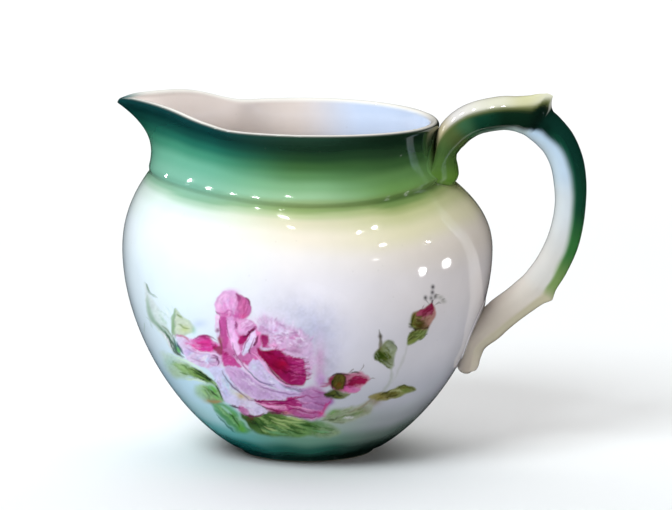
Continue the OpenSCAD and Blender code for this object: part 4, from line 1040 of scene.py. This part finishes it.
# The strap's stations, from the drop on the collar, over the top, to the drop on the
# bowl: x, z, half thickness on the left and right of the direction of travel, half
# width, and how closely it wraps the bowl.
HALF_T, HALF_W, SPUR_H, WRAP_R = 4.2, 4.8, 3.6, 36
STATIONS = np.array([
    (37.6, 70.3, 0.6, 0.6, 1.5, 0.0),
    (37.2, 71.3, 1.5, 1.7, 6.5, 1.6),
    (36.9, 72.8, 1.9, 2.4, 10.5, 1.9),
    (36.7, 74.8, 2.1, 2.4, 11.6, 1.9),
    (36.3, 77.0, 2.3, 2.4, 9.8, 1.6),
    (36.2, 79.5, 2.6, 3.1, 8.0, 1.3),
    (37.3, 82.6, 4.0, 3.9, 6.8, 1.0),
    (40.0, 85.6, 4.3, 4.1, 6.0, 0.4),
    (44.0, 87.9, 4.3, 4.2, HALF_W + 0.4, 0),
    (50.0, 89.2, HALF_T + 0.2, 4.3, HALF_W + 0.2, 0),
    (54.0, 89.1, HALF_T + 0.5, 4.4, HALF_W, 0),
    (57.0, 88.3, HALF_T + 0.6 * SPUR_H, 4.5, HALF_W, 0),
    (58.4, 87.7, HALF_T + SPUR_H, 4.5, HALF_W, 0),
    (59.2, 87.2, HALF_T + SPUR_H, 4.5, HALF_W, 0),
    (59.8, 86.8, HALF_T + 0.4 * SPUR_H, 4.5, HALF_W, 0),
    (60.4, 86.3, HALF_T + 0.7, 4.5, HALF_W, 0),
    (62.0, 84.9, HALF_T + 0.6, 4.4, HALF_W, 0),
    (64.8, 81.6, HALF_T + 0.5, 4.2, HALF_W, 0),
    (66.9, 76.8, HALF_T + 0.4, 4.0, HALF_W, 0),
    (68.0, 71.5, HALF_T + 0.1, 4.1, HALF_W, 0),
    (68.2, 66.4, HALF_T - 0.2, 4.0, HALF_W, 0),
    (67.6, 60.9, HALF_T - 0.2, 4.1, HALF_W, 0),
    (66.1, 55.4, HALF_T, 4.2, HALF_W, 0),
    (63.5, 49.8, HALF_T + 0.1, 4.3, HALF_W, 0),
    (61.0, 46.0, HALF_T + 0.3, 4.4, HALF_W, 0),
    (59.7, 44.4, HALF_T + 1.2, 4.4, HALF_W, 0),
    (58.4, 43.1, HALF_T + 0.3, 4.4, HALF_W, 0),
    (54.6, 39.9, HALF_T - 0.1, 4.3, HALF_W, 0),
    (50.4, 36.5, HALF_T - 0.1, 4.4, HALF_W + 0.8, 0.2),
    (46.9, 33.2, HALF_T - 0.1, 4.0, HALF_W + 3.2, 1.2),
    (44.0, 29.4, 3.0, 3.2, HALF_W + 2.0, 1.3),
    (42.6, 26.0, 2.8, 2.6, HALF_W - 0.3, 1.0),
    (41.9, 23.7, 2.9, 2.6, HALF_W - 0.9, 0.6),
    (41.6, 22.1, 2.4, 2.3, HALF_W - 1.6, 0.3),
    (41.6, 21.0, 0.8, 0.8, 1.0, 0),
])


# The handle's sprayed colours by station, on its outer flank and along its inner side. The near black on
# the flank and back just below the spur, and the grey blue of the inner side, are partly painted shade.
FLANK = gradient("0 #74a242, 2 #6a943c, 4 #547638, 5.4 #486434, 6.4 #506034, 7.3 #3a6242, 8.3 #123e2c, "
                 "9.4 #0c2618, 13 #081610, 15.5 #08221a, 17.5 #144a38, 20 #205a3e, 22 #468646, 23.4 "
                 "#8caa68, 24.6 #cac2a6, 34 #d0c2b2")
INNER = gradient("0 #74a242, 4 #60843c, 7 #567048, 8.4 #96aa9c, 11 #baced6, 14 #bad2e8, 18 #c0d2e2, 20 "
                 "#ced4d8, 23 #d0ccc6, 28 #cec2b4, 34 #d0c2b2")
CREST = gradient("0 #74a242, 4 #5c803a, 5.2 #707c48, 6.2 #c6b892, 7.2 #e0dad4, 9 #d8d4be, 10.4 #cecaa0, "
                 "12.4 #dad6be, 13.6 #e2e0d2, 14.4 #0a241c, 17.5 #0e362c, 20 #184a34, 22 #3c7a3e, 23.6 "
                 "#88a664, 25.2 #ccc4a8, 34 #d2c6b6")
# How far down the flank the green reaches (from 1, the crest, to -1, the inner side).
GREEN_ENDS = ((0, -1.4), (6.4, -1.2), (8, -0.86), (10.5, -0.74), (13.5, -0.46), (16, -0.12), (18, 0.14),
              (20, 0.24), (22.4, 0.34), (24.5, 0.7), (26, 1.4), (34, 1.4))

# How far up the flank the crest's own colour starts: higher where it narrows into the spur.
CREST_STARTS = ((0, 0.4), (9, 0.4), (11, 0.46), (12.6, 0.78), (13.8, 0.86), (14.6, 0.42), (34, 0.42))


def handle_tint(along, x, z, side):
    """Cream on the crest up to the spur, green on the flank and down the back, pale inside.

    along counts the stations; side is 1 on the strap's crest, -1 on its inner side.
    """
    drift = (noise(x, z, 5, 31) - 0.5) * 0.16
    flank = ramp(along + drift * 4, *FLANK)
    crest = ramp(along, *CREST)
    inner = ramp(along + drift * 4, *INNER)
    end = ramp(along, *GREEN_ENDS)
    tint = mix(flank, inner, 1 - step(side + drift, end - 0.22, end + 0.22))
    start = ramp(along, *CREST_STARTS)
    up = side + drift * 0.5
    olive = step(along, 5, 7) * (1 - step(along, 13, 14)) * np.exp(-((up - start) / 0.12) ** 2)
    tint = mix(tint, crest, step(up, start - 0.09, start + 0.09))
    return mix(tint, rgb("#626838"), 0.8 * olive)


def make_handle():
    steps, around = 8, 56
    path = through(STATIONS, steps)
    run = (np.vstack([path[1:], path[-1:]]) - np.vstack([path[:1], path[:-1]]))[:, :2]
    run /= np.hypot(*run.T)[:, None]
    b = np.arange(around) * 360 / around
    x, z, left, right, width, wrap = (path[:, k:k + 1] for k in range(6))
    crest = np.maximum(left - HALF_T - 0.3, 0) / 4
    # A soft ridge runs along each side of the crest, from the root to the spur and beyond.
    ridge = 1 + 0.05 * np.exp(-((np.abs(sin(b)) - 0.42) / 0.13) ** 2) * (sin(b) > 0)
    y = width * cos(b) * (1 - np.where(sin(b) > 0, crest * sin(b), 0)) * np.minimum(ridge, 1.04)
    h = np.where(sin(b) > 0, left, right) * sin(b) * ridge
    px = x - run[:, 1:] * h - wrap * y * y / (2 * WRAP_R)
    pz = z + run[:, :1] * h
    grid = np.stack([px, y, pz], axis=-1).reshape(-1, 3)
    ends = [(path[0, 0], 0, path[0, 1] - 0.2), (path[-1, 0], 0, path[-1, 1] - 0.2)]
    along = np.arange(len(path))[:, None] / steps + 0 * px
    tint = handle_tint(along, x + 0 * px, z + 0 * px, sin(b) + 0 * px).reshape(-1, 3)
    points = np.vstack([grid, ends])
    tint = np.vstack([tint, tint[:1], tint[-1:]])
    n = len(path) * around
    return make_object("scroll_handle", points, lathe_faces(len(path), around, n, n + 1), tint)


def make_slip(name, z0, w_low, w_high, down, up, colour):
    """Slip pressed out round a terminal of the handle: a low pad on the bowl."""
    rings, around = 14, 96
    b = np.arange(around) * 360 / around
    r0 = skin(np.array(180.0), np.array(z0))
    width = np.where(sin(b) < 0, w_low, w_low + (w_high - w_low) * sin(b))
    turn = -np.degrees(np.arcsin(width * cos(b) / r0))
    rise = np.where(sin(b) < 0, down, up) * sin(b)
    share = np.arange(1, rings + 1)[:, None] / rings
    a, z = 180 + turn * share, z0 + rise * share
    grids = []
    for height in (0.5 * (1 - 0.8 * share ** 2), -0.4 * np.ones_like(share)):
        grids.append(at(a, skin(a, z) + height, z).reshape(-1, 3))
    middle = [at(np.array(180.0), r0 + h, np.array(z0)) for h in (0.5, -0.4)]
    m = rings * around
    points = np.vstack(grids + middle)
    faces = []
    for j in range(around):
        k = (j + 1) % around
        for i in range(rings - 1):
            p, q = i * around, (i + 1) * around
            faces.append((p + j, q + j, q + k, p + k))
            faces.append((m + p + j, m + p + k, m + q + k, m + q + j))
        p = m - around
        faces.append((p + j, m + p + j, m + p + k, p + k))
        faces += [(2 * m, j, k), (2 * m + 1, m + k, m + j)]
    blend = mix(ground(a, z), colour * np.ones(a.shape + (3,)), (1 - share ** 2) * np.ones_like(a))
    tint = np.vstack([blend.reshape(-1, 3)] * 2 + [[colour, colour]])
    return make_object(name, points, faces, tint)


# ---------------------------------------------------------------- transfers on the bowl

SPRAY_BEARING, SPRAY_TILT = 7, 10
# Where the eye is when the spray is drawn, and the sheet's size beside the jug's at its axis.
EYE_DISTANCE, EYE_SIDE, EYE_HEIGHT, SHEET_SCALE = 1240, 7.4, 50.4, 1.038
FILM_OVER, FILM_UNDER = 0.03, 0.05


def drape(u, v):
    """Bearing and height on the bowl of a point of the flat sheet, seen from the side."""
    x, z = u, v + 8
    for _ in range(14):
        r = lower_radius(np.clip(z, 0, BELLY_Z))
        out = np.sqrt(np.maximum(r * r - x * x, 0))
        nearer = out * cos(SPRAY_TILT) + (z - EYE_HEIGHT) * sin(SPRAY_TILT)
        scale = 1 - nearer / EYE_DISTANCE
        x = EYE_SIDE + (SHEET_SCALE * u - EYE_SIDE) * scale
        z = (EYE_HEIGHT + (SHEET_SCALE * v - EYE_HEIGHT) * scale + out * sin(SPRAY_TILT)) / cos(SPRAY_TILT)
    return 90 + SPRAY_BEARING + np.degrees(np.arcsin(np.clip(x / r, -1, 1))), z


def surface_normals(a, z):
    """Directions square to the bowl's lower curve."""
    slope = lower_slope(z)
    n = np.stack([-cos(a), -sin(a), -slope], axis=-1)
    return n / np.linalg.norm(n, axis=-1, keepdims=True)


def make_transfers():
    """Cuts the painted sheet into its pieces and lays each on the bowl as a thin film."""
    sheet = painted_spray()
    a, z = drape(sheet.u, sheet.v)
    in_sight = (np.abs(sheet.u) < lower_radius(z) - 0.6) & (z > 2.4) & (z < BELLY_Z)
    kept = (sheet.cover > 0.012) & in_sight
    cell = kept[:-1, :-1] & kept[1:, :-1] & kept[:-1, 1:] & kept[1:, 1:]
    tint = mix(ground(a, z), sheet.colour, sheet.cover)
    normal = surface_normals(a, z)
    skin_points = at(a, lower_radius(z), z)
    columns = sheet.u.shape[1]
    pieces = {}
    for index, name in enumerate(SPRAY):
        i, j = np.nonzero(cell & (sheet.owner[:-1, :-1] == index))
        corners = np.stack([i * columns + j, i * columns + j + 1, (i + 1) * columns + j + 1,
                            (i + 1) * columns + j], axis=-1)
        used, quads = np.unique(corners, return_inverse=True)
        quads = quads.reshape(-1, 4)
        m = len(used)
        sides = np.concatenate([quads[:, [k, (k + 1) % 4]] for k in range(4)])
        key, back = sides[:, 0] * m + sides[:, 1], sides[:, 1] * m + sides[:, 0]
        start, stop = sides[~np.isin(key, back)].T
        walls = np.stack([stop, start, start + m, stop + m], axis=-1)
        faces = np.vstack([quads, quads[:, ::-1] + m, walls])
        p, n = skin_points.reshape(-1, 3)[used], normal.reshape(-1, 3)[used]
        points = np.vstack([p + n * FILM_OVER, p - n * FILM_UNDER])
        t = tint.reshape(-1, 3)[used]
        pieces[name] = make_object(name.replace("_transfer", "_print"), points, faces.tolist(),
                                   np.vstack([t, t]), np.vstack([n, n]))
    return pieces


# ---------------------------------------------------------------- materials

def glaze(name, roughness=0.07, coat=0.5, mottle=0.05, speck=0.0):
    """Fired glaze over painted grounds: faint mottling, uneven gloss and orange peel."""
    material = bpy.data.materials.new(name)
    material.use_nodes = True
    nodes, links = material.node_tree.nodes, material.node_tree.links
    shader = nodes["Principled BSDF"]

    def node(kind, **settings):
        new = nodes.new(kind)
        for key, value in settings.items():
            setattr(new, key, value)
        return new

    tint = node("ShaderNodeAttribute", attribute_name="tint")
    place = node("ShaderNodeTexCoord")

    def texture(scale, detail):
        new = node("ShaderNodeTexNoise")
        new.inputs["Scale"].default_value = scale
        new.inputs["Detail"].default_value = detail
        links.new(place.outputs["Object"], new.inputs["Vector"])
        return new

    def spread(source, low, high):
        new = node("ShaderNodeMapRange")
        new.inputs["From Min"].default_value, new.inputs["From Max"].default_value = 0.3, 0.7
        new.inputs["To Min"].default_value, new.inputs["To Max"].default_value = low, high
        links.new(source, new.inputs["Value"])
        return new.outputs["Result"]

    cloud = texture(90, 4)
    shade = node("ShaderNodeHueSaturation")
    links.new(tint.outputs["Color"], shade.inputs["Color"])
    links.new(spread(cloud.outputs["Fac"], 1 - mottle, 1 + mottle), shade.inputs["Value"])
    colour = shade.outputs["Color"]
    if speck:
        dots = node("ShaderNodeTexVoronoi", feature="F1")
        dots.inputs["Scale"].default_value = 220
        links.new(place.outputs["Object"], dots.inputs["Vector"])
        small = node("ShaderNodeMath", operation="LESS_THAN")
        small.inputs[1].default_value = 0.06
        links.new(dots.outputs["Distance"], small.inputs[0])
        strength = node("ShaderNodeMath", operation="MULTIPLY")
        strength.inputs[1].default_value = speck
        links.new(small.outputs[0], strength.inputs[0])
        blend = node("ShaderNodeMix", data_type="RGBA")
        links.new(strength.outputs[0], blend.inputs["Factor"])
        links.new(colour, blend.inputs["A"])
        blend.inputs["B"].default_value = (0.18, 0.14, 0.1, 1)
        colour = blend.outputs["Result"]
    links.new(colour, shader.inputs["Base Color"])
    gloss = texture(260, 3).outputs["Fac"]
    links.new(spread(gloss, roughness * 0.7, roughness * 1.6), shader.inputs["Roughness"])
    bump = node("ShaderNodeBump")       # the slight ripple of a fired glaze, two hundredths of a millimetre
    bump.inputs["Strength"].default_value = 0.25
    bump.inputs["Distance"].default_value = 0.00002
    links.new(texture(420, 2).outputs["Fac"], bump.inputs["Height"])
    links.new(bump.outputs["Normal"], shader.inputs["Normal"])
    shader.inputs["IOR"].default_value = 1.5
    shader.inputs["Coat Weight"].default_value = coat
    shader.inputs["Coat Roughness"].default_value = 0.03
    return material


def plain_floor(name, colour):
    material = bpy.data.materials.new(name)
    material.use_nodes = True
    nodes, links = material.node_tree.nodes, material.node_tree.links
    shader = nodes["Principled BSDF"]
    grain = nodes.new("ShaderNodeTexNoise")
    grain.inputs["Scale"].default_value = 30
    tone = nodes.new("ShaderNodeHueSaturation")
    tone.inputs["Color"].default_value = (*colour, 1)
    span = nodes.new("ShaderNodeMapRange")
    span.inputs["To Min"].default_value, span.inputs["To Max"].default_value = 0.97, 1.03
    links.new(grain.outputs["Fac"], span.inputs["Value"])
    links.new(span.outputs["Result"], tone.inputs["Value"])
    links.new(tone.outputs["Color"], shader.inputs["Base Color"])
    shader.inputs["Roughness"].default_value = 0.7
    return material


# ---------------------------------------------------------------- the pieces

def place(obj, node, slot, material):
    obj.data.materials.append(material)
    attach(obj, "root")
    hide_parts(node)


body_glaze = glaze("body_glaze", mottle=0.03, speck=0.06)
handle_glaze = glaze("handle_glaze", mottle=0.06)
foot_glaze = glaze("foot_glaze", roughness=0.2, coat=0.2, mottle=0.1)
print_glaze = glaze("print_glaze", roughness=0.09, mottle=0.05)

place(make_body(), "body", "glazed_body", body_glaze)
place(make_foot(), "foot_ring", "bare_foot", foot_glaze)
place(make_handle(), "handle", "glazed_handle", handle_glaze)
upper_slip = make_slip("upper_slip", 76, 12.4, 7.4, 6, 9, rgb("#708c46"))
lower_slip = make_slip("lower_slip", 33, 8.8, 8.2, 8.5, 7.5, rgb("#ded8cc"))
place(upper_slip, "upper_handle_joint", "slip_joint", handle_glaze)
place(lower_slip, "lower_handle_joint", "slip_joint", handle_glaze)
for node_name, film in make_transfers().items():
    green = "leaf" in node_name or "middle" in node_name
    place(film, node_name, "leaf_print" if green else "rose_print", print_glaze)


# ---------------------------------------------------------------- floor, light and camera

def make_floor():
    """A pale sweep: level under the jug, and curving up far behind it."""
    half, back, rise, curve = 3.0, 1.6, 2.4, 0.6
    profile = [(-half, 0.0)] + [(back - curve + curve * math.sin(b), curve - curve * math.cos(b))
                                for b in np.radians(np.arange(0, 91, 6))] + [(back, rise)]
    points = [(x, y, z) for y, z in profile for x in (-half, half)]
    faces = [(2 * i, 2 * i + 1, 2 * i + 3, 2 * i + 2) for i in range(len(profile) - 1)]
    mesh = bpy.data.meshes.new("floor")
    mesh.from_pydata(points, [], faces)
    mesh.polygons.foreach_set("use_smooth", np.ones(len(mesh.polygons), bool))
    floor = bpy.data.objects.new("floor", mesh)
    bpy.context.scene.collection.objects.link(floor)
    mesh.materials.append(plain_floor("floor_pale", (0.8, 0.8, 0.79)))
    floor.visible_glossy = False


AIM = Vector((0.0, 0.0, 0.052))
VIEW_TURN, VIEW_TILT, VIEW_DISTANCE = 7, 10, 1.24


def towards(bearing, height, distance):
    """A place round the jug: degrees right of the camera, degrees above level, and metres."""
    turn, up = math.radians(VIEW_TURN + bearing), math.radians(height)
    level = math.cos(up)
    return AIM + distance * Vector((math.sin(turn) * level, -math.cos(turn) * level, math.sin(up)))


def add_light(name, spot, size, power, colour=(1, 1, 1), glossy=False, diffuse=True, shape="RECTANGLE",
              aim=None, spread=180):
    data = bpy.data.lights.new(name, "AREA")
    data.spread = math.radians(spread)
    data.shape, data.size, data.size_y = shape, *size
    data.energy, data.color = power, colour
    light = bpy.data.objects.new(name, data)
    light.location = spot
    way = Vector(AIM if aim is None else aim) - Vector(spot)
    light.rotation_euler = way.to_track_quat("-Z", "Y").to_euler()
    light.visible_glossy, light.visible_diffuse = glossy, diffuse
    bpy.context.scene.collection.objects.link(light)


# Small lamps that only show as glints on the rim and the ridge: degrees right of the
# camera, degrees above level, degrees across.
RIDGE_GLINTS = ((-133, 30, 1.8), (-124, 48, 2), (-119, 59, 2), (-105, 70, 2.2), (-74, 77, 2.2),
                (-22, 81, 2.2), (-8, 72, 1.6))
# Lamps that show as one glint each on the bowl: its bearing and height, and how many
# degrees wide and high the lamp is and its beam. The beams are narrow so that the collar
# does not mirror the lamps as well.
BELLY_GLINTS = ((134.5, 53.8, 6.5, 13, 12), (144.5, 54.8, 9, 15, 13), (120.5, 65, 3.4, 1, 4),
                (114.5, 64.2, 3, 0.8, 4), (121.5, 61, 3.2, 1, 4), (118.5, 57.8, 2.2, 0.8, 3),
                (138.5, 60.5, 1.2, 0.9, 3))
RADIANCE, RIDGE_LAMP_DISTANCE, BELLY_LAMP_DISTANCE = 64.0, 0.9, 0.12
BEAM_POWER = 0.002      # a narrow beam needs this share of an open lamp's power


def camera_axes():
    """Directions to the right of the camera and ahead of it."""
    turn, tilt = math.radians(VIEW_TURN), math.radians(VIEW_TILT)
    ahead = Vector((-math.sin(turn) * math.cos(tilt), math.cos(turn) * math.cos(tilt), -math.sin(tilt)))
    return Vector((math.cos(turn), math.sin(turn), 0)), ahead


def camera_spot():
    across, ahead = camera_axes()
    return across * 0.0074 + Vector((0, 0, 0.0512)) - ahead * VIEW_DISTANCE


def on_bowl(a, z):
    return Vector(at(a, skin(np.array(float(a)), np.array(float(z))), z) * MM)


def add_glints():
    for bearing, height, across in RIDGE_GLINTS:
        side = 2 * RIDGE_LAMP_DISTANCE * math.tan(math.radians(across / 2))
        spot, size = towards(bearing, height, RIDGE_LAMP_DISTANCE), (1.4 * side, 0.6 * side)
        add_light(f"lamp_{bearing}", spot, size, RADIANCE * math.pi * side * side,
                  glossy=True, diffuse=False, shape="ELLIPSE")
    for a, z, wide, high, beam in BELLY_GLINTS:
        spot = on_bowl(a, z)
        square = (on_bowl(a + 0.1, z) - spot).cross(on_bowl(a, z + 0.1) - spot).normalized()
        to_eye = (camera_spot() - spot).normalized()
        way = 2 * square.dot(to_eye) * square - to_eye
        size = [2 * BELLY_LAMP_DISTANCE * math.tan(math.radians(across / 2)) for across in (wide, high)]
        power = BEAM_POWER * RADIANCE * math.pi * size[0] * size[1]
        add_light(f"belly_lamp_{a}", spot + BELLY_LAMP_DISTANCE * way, size, power,
                  glossy=True, diffuse=False, shape="ELLIPSE", aim=spot, spread=beam)


def add_camera():
    data = bpy.data.cameras.new("camera")
    data.sensor_width, data.lens = 36, 256
    data.clip_start, data.clip_end = 0.05, 20
    camera = bpy.data.objects.new("camera", data)
    camera.location = camera_spot()
    camera.rotation_euler = camera_axes()[1].to_track_quat("-Z", "Y").to_euler()
    bpy.context.scene.collection.objects.link(camera)
    bpy.context.scene.camera = camera


make_floor()
add_light("key", towards(-34, 44, 1.2), (0.6, 0.5), 13.6, (0.88, 0.95, 1.0))
add_light("fill", towards(70, 20, 1.2), (0.6, 0.6), 1.5, (1.0, 0.98, 0.95))
add_light("overhead", (0.0, 0.3, 2.0), (2.4, 2.4), 12.0)
add_light("backdrop_wash", (-0.1, 1.0, 1.1), (2.4, 0.9), 16.0, aim=(-0.1, 1.05, 0.0))
add_glints()
world = bpy.data.worlds.new("studio")
bpy.context.scene.world = world
world.use_nodes = True
world.node_tree.nodes["Background"].inputs["Color"].default_value = (0.93, 0.95, 1.0, 1)
world.node_tree.nodes["Background"].inputs["Strength"].default_value = 0.22
world.cycles_visibility.glossy = False
bpy.context.scene.view_settings.view_transform = "Standard"
add_camera()
